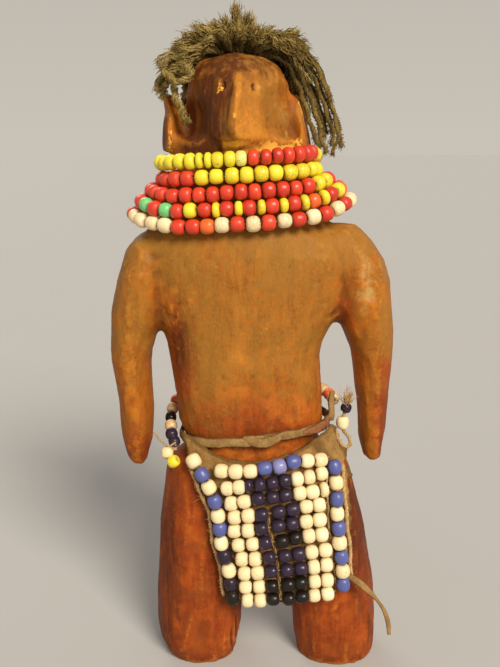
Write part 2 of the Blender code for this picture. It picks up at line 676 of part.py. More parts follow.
def make_drop_beads(surface, material):
    """Two loose beads on a short fibre that comes from the hip."""
    path, radii = [], []
    for number, share in enumerate(DROP_RADII):
        radius = DROP_BEAD_DIAMETER / 2 * share
        point = Vector(curve_value(DROP_ROUTE, number / (len(DROP_RADII) - 1))) * UNIT
        path.append(push_clear(point, surface, radius + CLEARANCE))
        radii.append((radius, radius))
    sweep("hip_drop_beads", path, [to_front(p) for p in path], radii, 6, False, material)


def make_hair(material):
    vertices, faces = [], []
    for x, y, z, wide, deep, high in HAIR_CLUMPS:
        work = bmesh.new()
        bmesh.ops.create_icosphere(work, subdivisions=2, radius=1.0)
        offset = len(vertices)
        for vertex in work.verts:
            co = vertex.co
            vertices.append(((x + co.x * wide) * UNIT, (y + co.y * deep) * UNIT, (z + co.z * high) * UNIT))
        faces += [tuple(vertex.index + offset for vertex in face.verts) for face in work.faces]
        work.free()
    hair = mesh_object("hair_crest", vertices, faces)
    melt(hair, HAIR_GRAIN, HAIR_SMOOTHING)
    for number, (rows, sides, shift_back) in enumerate(LOFTS[:3]):
        body = loft(rows, sides, shift_back, HAIR_GAP / UNIT)
        cutter = mesh_object(f"hair_cutter_{number}", *body)
        cut = hair.modifiers.new(f"cut_{number}", "BOOLEAN")
        cut.operation = "DIFFERENCE"
        cut.solver = "EXACT"
        cut.object = cutter
        cutter.hide_render = True
        cutter.display_type = "WIRE"
    bake_modifiers(hair)
    thin_out(hair, HAIR_TRIANGLES)
    for cutter in [item for item in bpy.data.objects if item.name.startswith("hair_cutter")]:
        bpy.data.objects.remove(cutter, do_unlink=True)
    hair.data.materials.append(material)
    hair.data.shade_smooth()
    return hair


def stand_on_origin():
    """Move every piece so that the middle of the whole doll's footprint is the origin."""
    pieces = [item for item in bpy.data.objects if item.type == "MESH"]
    xs = [vertex.co.x for item in pieces for vertex in item.data.vertices]
    ys = [vertex.co.y for item in pieces for vertex in item.data.vertices]
    zs = [vertex.co.z for item in pieces for vertex in item.data.vertices]
    shift = Vector((-(min(xs) + max(xs)) / 2, -(min(ys) + max(ys)) / 2, -min(zs)))
    for item in pieces:
        for vertex in item.data.vertices:
            vertex.co += shift


def main():
    clear_scene()
    wood = plain_material("stained_wood", (0.36, 0.13, 0.045), 0.55)
    wool = plain_material("olive_wool", (0.24, 0.21, 0.13), 0.95)
    hide = plain_material("tan_hide", (0.42, 0.27, 0.13), 0.8)
    leather = plain_material("grey_leather", (0.25, 0.18, 0.11), 0.85)
    red_glass = plain_material("red_glass", (0.55, 0.03, 0.02), 0.25)
    yellow_glass = plain_material("yellow_glass", (0.75, 0.55, 0.05), 0.25)
    white_glass = plain_material("white_glass", (0.85, 0.75, 0.6), 0.25)
    blue_glass = plain_material("blue_glass", (0.06, 0.09, 0.32), 0.25)
    navy_glass = plain_material("navy_glass", (0.03, 0.03, 0.08), 0.25)

    figure = make_figure(wood)
    surface = surface_of(figure)
    make_hair(wool)
    make_necklace(surface, [yellow_glass, yellow_glass, red_glass, red_glass, white_glass])
    thong = make_thong(surface, leather)
    make_hip_string(surface, navy_glass)
    waist = surface_of(figure, thong)
    apron = make_hide(waist, hide)
    make_apron_beads(waist, surface_of(apron), [white_glass, blue_glass])
    make_tail(leather)
    make_tie(leather)
    make_drop_beads(surface, white_glass)
    stand_on_origin()


main()
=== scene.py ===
"""Looks of the carved doll with bead strands, beaded hide apron and wool hair.

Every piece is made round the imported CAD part. Lengths are in millimetres in the drawing's own
frame (x across, y to the back, z up from the soles) until a mesh is built, which is in metres.
"""

import itertools
import math

import bmesh
import bpy
import numpy as np
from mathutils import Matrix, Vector
from mathutils.bvhtree import BVHTree
from mathutils.kdtree import KDTree


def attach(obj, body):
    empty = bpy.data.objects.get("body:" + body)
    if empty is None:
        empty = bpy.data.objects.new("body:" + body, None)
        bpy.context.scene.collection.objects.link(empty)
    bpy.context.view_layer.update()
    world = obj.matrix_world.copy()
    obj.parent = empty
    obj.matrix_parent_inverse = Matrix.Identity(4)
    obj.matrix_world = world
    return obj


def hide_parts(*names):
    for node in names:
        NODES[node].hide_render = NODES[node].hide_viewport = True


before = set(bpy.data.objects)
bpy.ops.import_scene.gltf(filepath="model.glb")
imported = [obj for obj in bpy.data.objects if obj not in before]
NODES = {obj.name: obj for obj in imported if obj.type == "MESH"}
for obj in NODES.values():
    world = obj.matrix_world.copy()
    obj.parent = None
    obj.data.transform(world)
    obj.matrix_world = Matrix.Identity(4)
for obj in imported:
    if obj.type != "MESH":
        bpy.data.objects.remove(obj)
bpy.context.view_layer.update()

MM = 0.001
TURN = 2 * math.pi
# From the drawing's frame to the part's frame, in millimetres
SHIFT = np.array((5.13, -0.67, 0.0))

# Camera: 500 x 667 pixels, in the drawing's frame
FRAME_HEIGHT_PX = 667
FOCAL_PX = 800
CAMERA_PLACE = (-6.0, -290.0, 195.1)
CAMERA_DOWN_DEG = 12.92

# Studio sky
HORIZON = (0.586, 0.540, 0.472)
ZENITH = (0.36, 0.345, 0.32)

# Carved wood
WOOD_VOXEL = 0.95
WOOD_EVEN_PASSES = 7
# Eye pits: x, z and which way the bright chip lies
EYES = [(-14.9, 215.6, -1), (-4.6, 215.4, 1)]
EYE_HALF = (0.75, 1.35)
HEAD_MIDDLE = -10.3
# Face ridge, from the bottom up: heights and places across
RIDGE_HEIGHTS = [197.4, 199.8, 203.0, 209.2, 213.8, 221.0]
RIDGE_PLACES = [-9.2, -10.5, -11.8, -11.1, -10.1, -10.1]
# Cracks up the inner edge of the left leg: x at the bottom and top, z at the bottom and top
CRACKS = [(-8.4, -8.8, 2.0, 27.0), (-10.4, -10.8, 1.0, 19.0), (-12.8, -12.4, 3.0, 15.0)]
# Soft spots of each mask on the wood: strength, centre and radii
RED_SPOTS = [(1.1, (-30, -8, 124), (6, 14, 22)), (0.95, (-2, -18, 94), (36, 12, 17)),
             (0.6, (27, -8, 140), (7, 14, 11))]
GRIME_SPOTS = [(1.1, (6.1, -10, 206.8), (3.2, 9, 7)), (0.72, (-20, -16, 124), (15, 12, 30)),
               (0.6, (8, -18, 135), (12, 10, 34))]
# Painted shade in the channel beside the face, under the arms and between the legs
PAINTED_SHADE_SPOTS = [(0.95, (-26.5, -2, 203), (3.6, 9, 12)), (0.78, (-31, -8, 127), (4.5, 13, 16)),
              (0.6, (25, 0, 138), (4, 14, 8)), (0.55, (-9, 0, 18), (3, 20, 22))]
# Painted light on the lit belly strip and torso front
PAINTED_LIGHT_SPOTS = [(0.5, (-4, -18, 88.5), (34, 8, 4.6)), (0.6, (-9, -18, 124), (7, 9, 17)),
              (0.4, (10, -18, 106), (14, 9, 12))]
BARE_SPOTS = [(0.5, (8, -16, 196), (8, 10, 2.4)), (0.62, (-34, -3, 197), (1.6, 5, 6)),
              (0.8, (11, -8, 197.5), (4, 10, 2.2))]
PALE_SPOTS = [(0.62, (6.1, -10, 206.8), (3.8, 9, 7.5)), (0.8, (2.9, -13, 210), (1.4, 9, 1.1)),
              (0.7, (0, -14, 206.4), (0.8, 9, 0.6)), (0.8, (6.6, -9, 200.5), (0.7, 9, 2.4)),
              (0.85, (-3.3, -20, 215.2), (1.2, 9, 1.5))]

# Glass beads
NECK_BEAD = 5.2
NECK_WIDE = [5.6, 5.6, 5.55, 5.35, 5.4]
HOLE = 0.24
BEAD_SIDES = 18
# How far a bead sits off its thread in mm, how its axis wavers, its width and length as shares of
# their full values, and how much longer it is on one side
BEAD_SHIFT = 0.12
BEAD_WOBBLE = 0.07
BEAD_WIDTHS = (0.92, 1.02)
BEAD_LENGTHS = (0.98, 1.0)
BEAD_SLANT = 0.08
STRAND_THREAD = 0.8

# Necklace route, as on the CAD part: centre, half width, depth to front and back, roll
STRAND_CENTRE = (-10.6, 0.0, 192.4)
STRAND_HALF_WIDTH = 26.4
STRAND_FRONT = 19.4
STRAND_BACK = 20.4
STRAND_ROLL = 0.064
STRAND_STATIONS = 120
STRAND_POWERS = [2.7, 2.6, 2.35, 2.2, 2.0]
STRAND_STEPS = [
    (0.12, 0.10, 0.96, 0.02, 0.98, 0.04, 0.95),
    (0.06, 0.72, 0.74, 0.08, 1.02, 0.10, 0.95),
    (0.04, 0.84, 0.70, 0.16, 1.04, 0.20, 0.95),
    (0.10, 0.70, 0.88, 0.24, 1.10, 0.26, 0.95),
]
CLEARANCE = 0.25
STRAND_PITCHES = [5.6, 5.6, 5.5, 5.3, 5.3]

# Bead colours by letter; a small letter is a short bead, and a dot is a bare stretch of thread
GLASS = {"Y": "yellow", "R": "red", "W": "white", "G": "green", "B": "blue", "L": "pale_blue",
         "D": "navy", "O": "orange", "C": "cream", "K": "black", "P": "pale_yellow"}
SHORT = 0.65
# Dark beads are a little narrower
NARROW_MARKS = "DKdk"
NARROW_SHARE = 0.95
# Necklace: arc in mm of the first and last front bead, from the right-hand end round the back,
# the front beads from left to right, and what repeats behind the neck
NECKLACE = [
    (87.6, 148.4, "YYYYYyyYYPRRRRRRR", "YYYYYRRRRR"),
    (82.8, 152.4, "RRRRRYYYYYYYYYY", "RRYYYY"),
    (90.2, 165.2, "ORRRRRRRRRRRRRRYY", "RRRRYY"),
    (102.0, 189.4, "RRGRGRYRyRyRyRyRyOyRYO", "RYRYRG"),
    (111.4, 199.5, "WWWWRROWRWRWRWRWRW", "WWWRRRWR"),
]

APRON_BEAD = 5.5
# Bare thread past a row's end beads, and how it dives into the hide
ROW_END_BARE = 1.2
ROW_END_DIVE = (0, 2.2, 0)
# Apron rows from the top down: x and z that the row passes, end beads included, and the beads
APRON_ROWS = [
    ([(-16.1, 83.0), (1.0, 84.6), (9.6, 86.4), (19.2, 85.9)], "WWWBLBWW"),
    ([(-14.5, 76.6), (3.0, 79.4), (19.2, 80.5)], "WWdDDDWWW"),
    ([(-13.0, 70.9), (3.0, 73.8), (19.9, 75.4)], "WWDDDWWw"),
    ([(-11.5, 65.5), (4.0, 68.0), (18.6, 70.2)], "WWD.DDWW"),
    ([(-11.7, 59.9), (4.0, 62.4), (19.1, 64.5)], "WWD.DDWW"),
    ([(-10.1, 54.5), (5.0, 56.6), (20.0, 58.5)], "WWD.KKWW"),
    ([(-9.0, 48.9), (6.0, 50.6), (21.4, 52.4)], "WWD.DDWW"),
    ([(-8.0, 43.4), (7.0, 45.0), (22.1, 46.2)], "WWD.DDWW"),
    ([(-7.4, 37.9), (7.0, 39.0), (22.6, 40.4)], "WWK.KKWW"),
    ([(-6.9, 32.5), (7.0, 33.3), (22.5, 34.9)], "WWK.KKWW"),
]
GAP_SHARE = 0.22
LEFT_EDGE = [(-26.2, 85.4), (-23.3, 81.2), (-20.8, 76.6), (-18.9, 71.6), (-17.7, 66.2), (-17.1, 60.6),
             (-16.6, 55.1), (-15.3, 49.8), (-13.8, 44.5), (-13.1, 39.1), (-12.6, 33.4)]
LEFT_EDGE_BEADS = "WBWBWBWDWDK"
RIGHT_EDGE = [(24.4, 82.2), (24.5, 76.6), (24.6, 70.9), (25.2, 65.4), (26.0, 59.9), (26.6, 54.3),
              (27.4, 48.7), (28.2, 43.3), (28.6, 38.0)]
RIGHT_EDGE_BEADS = "BWBWBWBWB"

# Apron hide in front view, as on the CAD part
HIDE_TOP = [(-30.5, 94.6), (-22.0, 89.4), (-14.0, 86.3), (-4.0, 85.8), (8.0, 88.2), (16.0, 91.6),
            (24.5, 97.4)]
HIDE_LEFT = [(-30.5, 94.6), (-29.5, 88.0), (-25.5, 78.5), (-21.6, 68.0), (-19.4, 55.0), (-16.6, 42.0),
             (-15.6, 30.6)]
HIDE_RIGHT = [(24.5, 97.4), (28.2, 89.5), (31.2, 79.5), (30.4, 70.0), (30.8, 58.0), (31.5, 46.0),
              (32.0, 36.6)]
HIDE_BOTTOM = [(-15.6, 30.6), (-2.0, 29.6), (14.0, 31.0), (32.0, 36.6)]
HIDE_GRID = (73, 81)
HIDE_THICKNESS = 0.9
HIDE_GAP = 1.6
HIDE_TOP_DEPTH = 19.6
HIDE_WRAPS = (8.5, 2.2)
HIDE_CENTRES = (-4.0, 6.0)
HIDE_HEIGHTS = (92.0, 32.0)
HIDE_HALF_SPAN = 28.0

# Free routes, as on the CAD part: x, y, z
HIP_STRING = [(-33.5, -10.5, 88.4), (-36.0, -3.0, 92.0), (-36.0, 5.0, 97.5), (-31.0, 13.0, 102.5),
              (-20.0, 18.0, 106.0), (-6.0, 20.0, 107.0), (8.0, 18.0, 106.5), (19.0, 12.0, 105.0),
              (24.0, 5.0, 104.0), (25.6, -2.0, 103.0)]
HIP_BEADS = "DDCKCOKCDWBWDCKWDCBWDCOWDCKWDB"
HIP_BEAD = 4.9
HIP_BEAD_LENGTH = 4.2
TIE_ROUTE = [(31.4, -5.0, 107.0), (30.2, -5.0, 102.5), (29.0, -5.0, 98.0), (28.8, -5.0, 93.0),
             (31.0, -5.6, 90.0), (31.6, -6.4, 87.4), (29.6, -8.0, 86.8), (26.6, -9.6, 90.6),
             (26.0, -10.0, 94.4)]
TIE_BEAD = 4.8
DROP_ROUTE = [(-33.0, -15.6, 91.6), (-34.6, -15.4, 90.4), (-36.0, -15.4, 88.6), (-35.8, -16.4, 86.6),
              (-33.2, -17.8, 84.6)]
TAIL_ROUTE = [(30.4, -20.2, 41.0), (34.0, -21.6, 39.2), (37.2, -22.6, 36.6), (40.5, -22.4, 33.0),
              (44.0, -21.6, 27.5), (46.0, -20.8, 21.5), (46.6, -20.4, 16.5)]
# Radius of each ply of a two-ply cord, as a share of the cord's
PLY_SHARE = 0.62
TIE_KNOT = [(30.6, -6.3, 104.6), (29.6, -5.6, 105.2), (30.6, -4.2, 104.6), (31.6, -5.2, 104.0)]
DROP_LOOP = [(-41.6, -10.5, 93.6), (-38.4, -13.6, 91.2), (-35.4, -15.6, 89.8), (-32.6, -16.4, 89.2)]
THONG_END = [(24.0, -5.0, 96.5), (24.4, -5.6, 100.0), (24.2, -5.4, 104.0), (24.6, -4.8, 107.6)]
# Thongs that make the knot: start and end (across, up) from its middle, and how far each bulges
KNOT_PARTS = [((-7, 0.9), (6, -0.6), 1.1), ((-6, -1.0), (7, 1.2), 1.0), ((-6.0, 0.0), (6.5, 0.3), 1.5)]
THONG_LEVEL = 93.5
THONG_SLOPE = 0.105
THONG_CENTRE = -6.0
THONG_REACH = 27.0
THONG_WIDTH = 3.6
THONG_THICKNESS = 1.3
THONG_STEPS = 200
KNOT_ANGLE = 1.56 * math.pi

rng = np.random.default_rng(41)


# Numbers and curves


def hashed(cells, seed):
    """A set pseudo-random value from 0 to 1 for each whole-number cell."""
    mixed = cells[:, 0] * 73856093 ^ cells[:, 1] * 19349663 ^ cells[:, 2] * 83492791 ^ seed * 2654435761
    mixed = (mixed ^ (mixed >> 13)) * 1274126177
    return ((mixed ^ (mixed >> 16)) & 0xFFFF) / 65535.0


def noise(points, size, seed=1, octaves=1):
    """Smooth noise from -1 to 1; size is the cell's size in mm, one number or three."""
    total, weight = 0.0, 1.0
    for octave in range(octaves):
        scaled = points / (np.array(size) * 0.5 ** octave) + 17.3 * octave
        cell = np.floor(scaled).astype(np.int64)
        part = scaled - cell
        part = part * part * (3 - 2 * part)
        value = 0.0
        for corner in itertools.product((0, 1), repeat=3):
            share = np.prod(np.where(np.array(corner) == 1, part, 1 - part), axis=1)
            value = value + share * hashed(cell + np.array(corner), seed + octave)
        total = total + weight * (2 * value - 1)
        weight *= 0.5
    return total


def ramp(value, low, high):
    """0 below low, 1 above high, smooth between."""
    share = np.clip((value - low) / (high - low), 0.0, 1.0)
    return share * share * (3 - 2 * share)


def band(value, low, full, still, high):
    """1 from full to still, smoothly down to 0 at low and high."""
    return ramp(value, low, full) * (1 - ramp(value, still, high))


def blob(points, centre, radii):
    """1 at the centre, falling off to 0 with the given radii."""
    offset = (points - np.array(centre)) / np.array(radii)
    return np.exp(-(offset ** 2).sum(axis=1))


def strongest(*masks):
    return np.maximum.reduce(masks)


def spots(points, table):
    """The strongest of some soft spots; each is a strength, a centre and radii."""
    return strongest(*(strength * blob(points, centre, radii) for strength, centre, radii in table))


def smooth_curve(points, count):
    """Catmull-Rom curve through the points, at count even steps along its length."""
    points = np.array(points, float)
    padded = np.vstack([2 * points[0] - points[1], points, 2 * points[-1] - points[-2]])
    fine = []
    for index in range(len(points) - 1):
        a, b, c, d = padded[index:index + 4]
        t = np.linspace(0, 1, 24, endpoint=False)[:, None]
        bend = (2 * a - 5 * b + 4 * c - d) * t ** 2 + (3 * b - a - 3 * c + d) * t ** 3
        fine.append(0.5 * (2 * b + (c - a) * t + bend))
    fine.append(points[-1:])
    return even_steps(np.vstack(fine), count)


def arc_of(path):
    return np.concatenate([[0.0], np.cumsum(np.linalg.norm(np.diff(path, axis=0), axis=1))])


def point_at(path, arcs, place):
    return np.stack([np.interp(place, arcs, path[:, axis]) for axis in range(path.shape[1])], axis=-1)


def even_steps(path, count):
    arcs = arc_of(path)
    return point_at(path, arcs, np.linspace(0, arcs[-1], count))


def unit(vectors):
    return vectors / np.maximum(np.linalg.norm(vectors, axis=-1, keepdims=True), 1e-9)


def frames(path, closed=False):
    """Direction, side and cross vectors along a path, without twist."""
    if closed:
        along = unit(np.roll(path, -1, axis=0) - np.roll(path, 1, axis=0))
    else:
        along = unit(np.gradient(path, axis=0))
    side = np.cross(along[0], (0.31, 0.52, 0.79))
    sides = []
    for direction in along:
        side = side - direction * side.dot(direction)
        side = side / max(np.linalg.norm(side), 1e-9)
        sides.append(side)
    sides = np.array(sides)
    return along, sides, np.cross(along, sides)


def level_direction(angle):
    return np.array((math.cos(angle), math.sin(angle), 0.0))


def turned(side, cross, angles):
    """Directions at some angles round a path."""
    return side * np.cos(angles)[:, None] + cross * np.sin(angles)[:, None]


# Gathering and building meshes


def write_values(mesh, key, values):
    layer = mesh.attributes.new(key, "FLOAT", "POINT")
    layer.data.foreach_set("value", values.astype(np.float32))


class Shell:
    """Points, faces, looks and per-point values of one piece, in drawn millimetres."""

    def __init__(self):
        self.points, self.faces, self.looks, self.tones, self.grimes = [], [], [], [], []
        self.count = 0

    def add(self, points, faces, look=0, tone=0.0, grime=0.0):
        points = np.asarray(points, float)
        self.points.append(points)
        self.tones.append(np.broadcast_to(tone, len(points)))
        self.grimes.append(np.broadcast_to(grime, len(points)))
        self.faces += [tuple(index + self.count for index in face) for face in faces]
        self.looks += [look] * len(faces)
        self.count += len(points)

    def build(self, name, materials, slot, replaced=()):
        mesh = bpy.data.meshes.new(name)
        places = (np.vstack(self.points) + SHIFT) * MM
        mesh.from_pydata(places.tolist(), [], self.faces)
        for material in materials:
            mesh.materials.append(material)
        mesh.polygons.foreach_set("material_index", self.looks)
        write_values(mesh, "tone", np.concatenate(self.tones))
        write_values(mesh, "grime", np.concatenate(self.grimes))
        mesh.shade_smooth()
        mesh.update()
        return place_piece(bpy.data.objects.new(name, mesh), replaced)


def place_piece(piece, replaced=()):
    if piece.name not in bpy.context.scene.collection.objects:
        bpy.context.scene.collection.objects.link(piece)
    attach(piece, "root")
    if replaced:
        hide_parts(*replaced)
    return piece


def tube_faces(rings, sides, closed=False):
    faces = []
    for ring in range(rings if closed else rings - 1):
        low, high = ring * sides, (ring + 1) % rings * sides
        for turn in range(sides):
            after = (turn + 1) % sides
            faces.append((low + turn, low + after, high + after, high + turn))
    if not closed:
        faces.append(tuple(range(sides))[::-1])
        faces.append(tuple(range((rings - 1) * sides, rings * sides)))
    return faces


def tube_points(path, radii, sides, closed=False):
    """Ring points round a path; radii is one number or one per station."""
    _, side, cross = frames(path, closed)
    radii = np.broadcast_to(radii, len(path))[:, None, None]
    angles = np.linspace(0, TURN, sides, endpoint=False)[None, :, None]
    ring = side[:, None, :] * np.cos(angles) + cross[:, None, :] * np.sin(angles)
    return (path[:, None, :] + ring * radii).reshape(-1, 3)


def add_tube(shell, path, radii, sides, look=0, tone=0.0, grime=0.0, closed=False):
    points = tube_points(path, radii, sides, closed)
    shell.add(points, tube_faces(len(path), sides, closed), look, tone, grime)


def add_plied(shell, path, radius, turn_length, look=0, tone=0.0, fuzz=0.0):
    """Twisted cord: two plies wound round a path."""
    arcs = arc_of(path)
    _, side, cross = frames(path)
    ply_radius = radius * PLY_SHARE
    wind = radius - ply_radius
    for ply in range(2):
        angle = TURN * (arcs / turn_length + ply / 2)
        radii = np.full(len(path), ply_radius)
        radii[0] = radii[-1] = ply_radius * 0.45
        radii = radii * (1 + 0.12 * rng.standard_normal(len(path)))
        shade = tone + 0.15 * rng.standard_normal()
        add_tube(shell, path + turned(side, cross, angle) * wind, radii, 6, look, shade)
    if fuzz:
        add_fuzz(shell, path, radius, int(arcs[-1] * fuzz), look, tone)


def add_fuzz(shell, path, radius, count, look, tone, length=2.2, thickness=0.07):
    """Fine loose fibres standing off a cord."""
    arcs = arc_of(path)
    along, side, cross = frames(path)
    for _ in range(count):
        place = rng.uniform(0, arcs[-1])
        index = min(int(np.searchsorted(arcs, place)), len(path) - 1)
        angle = rng.uniform(0, TURN)
        out = side[index] * math.cos(angle) + cross[index] * math.sin(angle)
        start = path[index] + out * radius * 0.7
        reach = length * rng.uniform(0.5, 1.3)
        lean = along[index] * rng.uniform(-0.8, 0.9) + rng.normal(0, 0.35, 3)
        middle = start + (out * 0.5 + lean * 0.6) * reach * 0.5
        end = middle + (out * 0.35 + lean + rng.normal(0, 0.3, 3)) * reach * 0.5
        radii = [thickness, thickness * 0.8, thickness * 0.3]
        add_tube(shell, np.array([start, middle, end]), radii, 3, look, tone + 0.2)


def surface_of(item):
    """Search tree over a piece, in drawn millimetres."""
    points = [Vector((np.array(vertex.co) / MM - SHIFT).tolist()) for vertex in item.data.vertices]
    return BVHTree.FromPolygons(points, [tuple(face.vertices) for face in item.data.polygons])


def push_clear(point, surface, distance):
    """Move a point out of a surface until it is the given distance away."""
    point = Vector(point)
    for _ in range(6):
        nearest, normal, _, _ = surface.find_nearest(point)
        gap = (point - nearest).dot(normal)
        reach = (point - nearest).length
        if gap > 0 and reach >= distance:
            break
        away = (point - nearest).normalized() if gap > 0 and reach > 1e-4 else normal
        point = nearest + away * distance
    return np.array(point)


def clear_path(points, surface, distance):
    return np.array([push_clear(point, surface, distance) for point in points])


# Materials


class Look:
    """A node material, with short ways to add and join nodes."""

    def __init__(self, name):
        self.material = bpy.data.materials.new(name)
        self.material.use_nodes = True
        self.tree = self.material.node_tree
        self.shader = self.tree.nodes["Principled BSDF"]
        self.place = self.add("ShaderNodeTexCoord").outputs["Object"]

    def add(self, kind, inputs=None, **settings):
        node = self.tree.nodes.new(kind)
        for key, value in settings.items():
            setattr(node, key, value)
        for key, value in (inputs or {}).items():
            self.join(value, node.inputs[key])
        return node

    def join(self, value, socket):
        if isinstance(value, bpy.types.NodeSocket):
            self.tree.links.new(value, socket)
        else:
            socket.default_value = value

    def noise(self, size, detail=3.0, rough=0.55, distort=0.0):
        """Noise from 0 to 1 with cells of the given size in mm, one number or three."""
        sizes = (size,) * 3 if isinstance(size, (int, float)) else size
        scale = tuple(1 / (MM * value) for value in sizes)
        mapping = self.add("ShaderNodeMapping", {"Vector": self.place, "Scale": scale})
        settings = {"Vector": mapping.outputs[0], "Scale": 1.0, "Detail": detail, "Roughness": rough,
                    "Distortion": distort}
        return self.add("ShaderNodeTexNoise", settings).outputs["Fac"]

    def value(self, name):
        return self.add("ShaderNodeAttribute", attribute_name=name).outputs["Fac"]

    def sum(self, a, b):
        return self.add("ShaderNodeMath", {0: a, 1: b}, operation="ADD").outputs[0]

    def scaled(self, value, factor):
        return self.add("ShaderNodeMath", {0: value, 1: factor}, operation="MULTIPLY").outputs[0]

    def span(self, value, low, high, out_low=0.0, out_high=1.0):
        ranges = {"Value": value, "From Min": low, "From Max": high, "To Min": out_low, "To Max": out_high}
        return self.add("ShaderNodeMapRange", ranges, interpolation_type="SMOOTHSTEP").outputs[0]

    def mix(self, share, a, b):
        a = (*a, 1.0) if isinstance(a, tuple) else a
        b = (*b, 1.0) if isinstance(b, tuple) else b
        return self.add("ShaderNodeMix", {0: share, 6: a, 7: b}, data_type="RGBA").outputs[2]

    def tint(self, colour, value, low, high, share, tint):
        """Lay a tint on a colour, up to the given share, as a value runs from low to high."""
        return self.mix(self.span(value, low, high, 0.0, share), colour, tint)

    def ragged(self, mask, pattern, *spread):
        """A point value whose edges a pattern breaks up."""
        return self.sum(self.value(mask), self.span(pattern, *spread))

    def shade(self, values):
        for name, value in values.items():
            self.join(value, self.shader.inputs[name])
        return self.material

    def finish(self, colour, roughness, height, depth, specular):
        if height is not None:
            bump = self.add("ShaderNodeBump", {"Height": height, "Distance": depth * MM, "Strength": 1.0})
            self.shade({"Normal": bump.outputs[0]})
        return self.shade({"Base Color": colour, "Roughness": roughness, "Specular IOR Level": specular})


def wood_look():
    look = Look("stained_carved_wood")
    streak = look.noise((2.6, 2.6, 17.0), 6.0, 0.62)
    grain = look.noise((0.45, 0.45, 5.0), 4.0, 0.6)
    scratch = look.noise((0.42, 0.42, 3.4), 2.0, 0.5, 0.9)
    mottle = look.noise(7.0, 6.0, 0.68)
    fine = look.noise(1.3, 5.0, 0.72)
    patina = look.noise(13.0, 4.0, 0.6, 0.8)
    body = look.span(look.scaled(look.sum(streak, mottle), 0.5), 0.40, 0.60)
    colour = look.mix(body, (0.27, 0.070, 0.007), (0.47, 0.135, 0.010))
    colour = look.tint(colour, patina, 0.40, 0.62, 0.7, (0.29, 0.108, 0.014))
    red = look.mix(body, (0.205, 0.034, 0.006), (0.345, 0.062, 0.008))
    red = look.tint(red, mottle, 0.45, 0.72, 0.4, (0.42, 0.088, 0.009))
    red = look.tint(red, patina, 0.46, 0.66, 0.5, (0.22, 0.054, 0.010))
    scrape = look.noise((1.6, 1.6, 0.5), 3.0, 0.6, 1.4)
    # Each layer over the last: where it lies, from what value to what value, its share and its tint
    layers = [
        (look.ragged("red", mottle, 0.3, 0.7, -0.25, 0.25), 0.2, 0.8, 1.0, red),
        # Painted light on the lit right plane of the face, the belly strip and torso, with bright flecks by
        # the armpits and belly
        (look.ragged("glow", mottle, 0.3, 0.7, -0.25, 0.2), 0.1, 1.1, 0.85, (0.72, 0.24, 0.022)),
        (look.ragged("grime", fine, 0.3, 0.7, -0.28, 0.28), 0.15, 1.0, 0.85, (0.31, 0.150, 0.024)),
        # Darker: painted shade on the left face, the outer leg sides and in channels, with patina, eye pits
        # and cracks
        (look.ragged("dark", streak, 0.3, 0.7, -0.24, 0.24), 0.2, 0.9, 0.93, (0.082, 0.018, 0.005)),
        # Painted shade in the hollows of the carving
        (look.value("cavity"), 0.15, 1.0, 0.5, (0.110, 0.031, 0.007)),
        (look.ragged("crest", fine, 0.35, 0.7, -0.25, 0.2), 0.25, 1.0, 0.28, (0.72, 0.28, 0.03)),
        (scratch, 0.62, 0.76, 0.10, (0.15, 0.045, 0.008)),
        (scrape, 0.62, 0.74, 0.28, (0.66, 0.27, 0.035)),
        # Pale patches on the face, and a painted highlight on the right arm's facets
        (look.ragged("pale", fine, 0.35, 0.65, -0.1, 0.1), 0.2, 0.9, 0.85, (0.50, 0.31, 0.095)),
        # Bare wood chips, with painted light along the ears
        (look.ragged("bare", fine, 0.35, 0.65, -0.32, 0.32), 0.46, 0.76, 1.0, (0.80, 0.40, 0.06)),
    ]
    for layer in layers:
        colour = look.tint(colour, *layer)
    gloss = look.sum(mottle, look.scaled(look.value("polish"), -0.5))
    roughness = look.span(look.sum(gloss, look.span(fine, 0.3, 0.7, -0.1, 0.1)), 0.1, 0.7, 0.28, 0.66)
    height = look.sum(look.scaled(grain, 0.5), look.scaled(fine, 0.9))
    height = look.sum(height, look.span(scratch, 0.58, 0.72, 0.0, -0.28))
    return look.finish(colour, roughness, height, 0.22, 0.14)


GLASS_COLOURS = {
    "yellow": ((0.88, 0.78, 0.035), (0.74, 0.58, 0.018)),
    "pale_yellow": ((0.92, 0.88, 0.36), (0.84, 0.76, 0.18)),
    "red": ((0.80, 0.062, 0.018), (0.52, 0.026, 0.010)),
    "orange": ((0.80, 0.150, 0.020), (0.70, 0.090, 0.016)),
    "white": ((0.93, 0.79, 0.49), (0.80, 0.62, 0.33)),
    "cream": ((0.74, 0.52, 0.26), (0.62, 0.40, 0.18)),
    "green": ((0.20, 0.62, 0.22), (0.13, 0.50, 0.16)),
    "blue": ((0.095, 0.120, 0.36), (0.070, 0.085, 0.27)),
    "pale_blue": ((0.24, 0.24, 0.48), (0.19, 0.19, 0.40)),
    "navy": ((0.038, 0.022, 0.052), (0.020, 0.012, 0.022)),
    "black": ((0.013, 0.009, 0.007), (0.009, 0.006, 0.005)),
}
PALE_GLASS = ("white", "cream", "pale_yellow", "yellow")
DARK_GLASS = ("navy", "black")
BEAD_DIRT = (0.20, 0.10, 0.035)


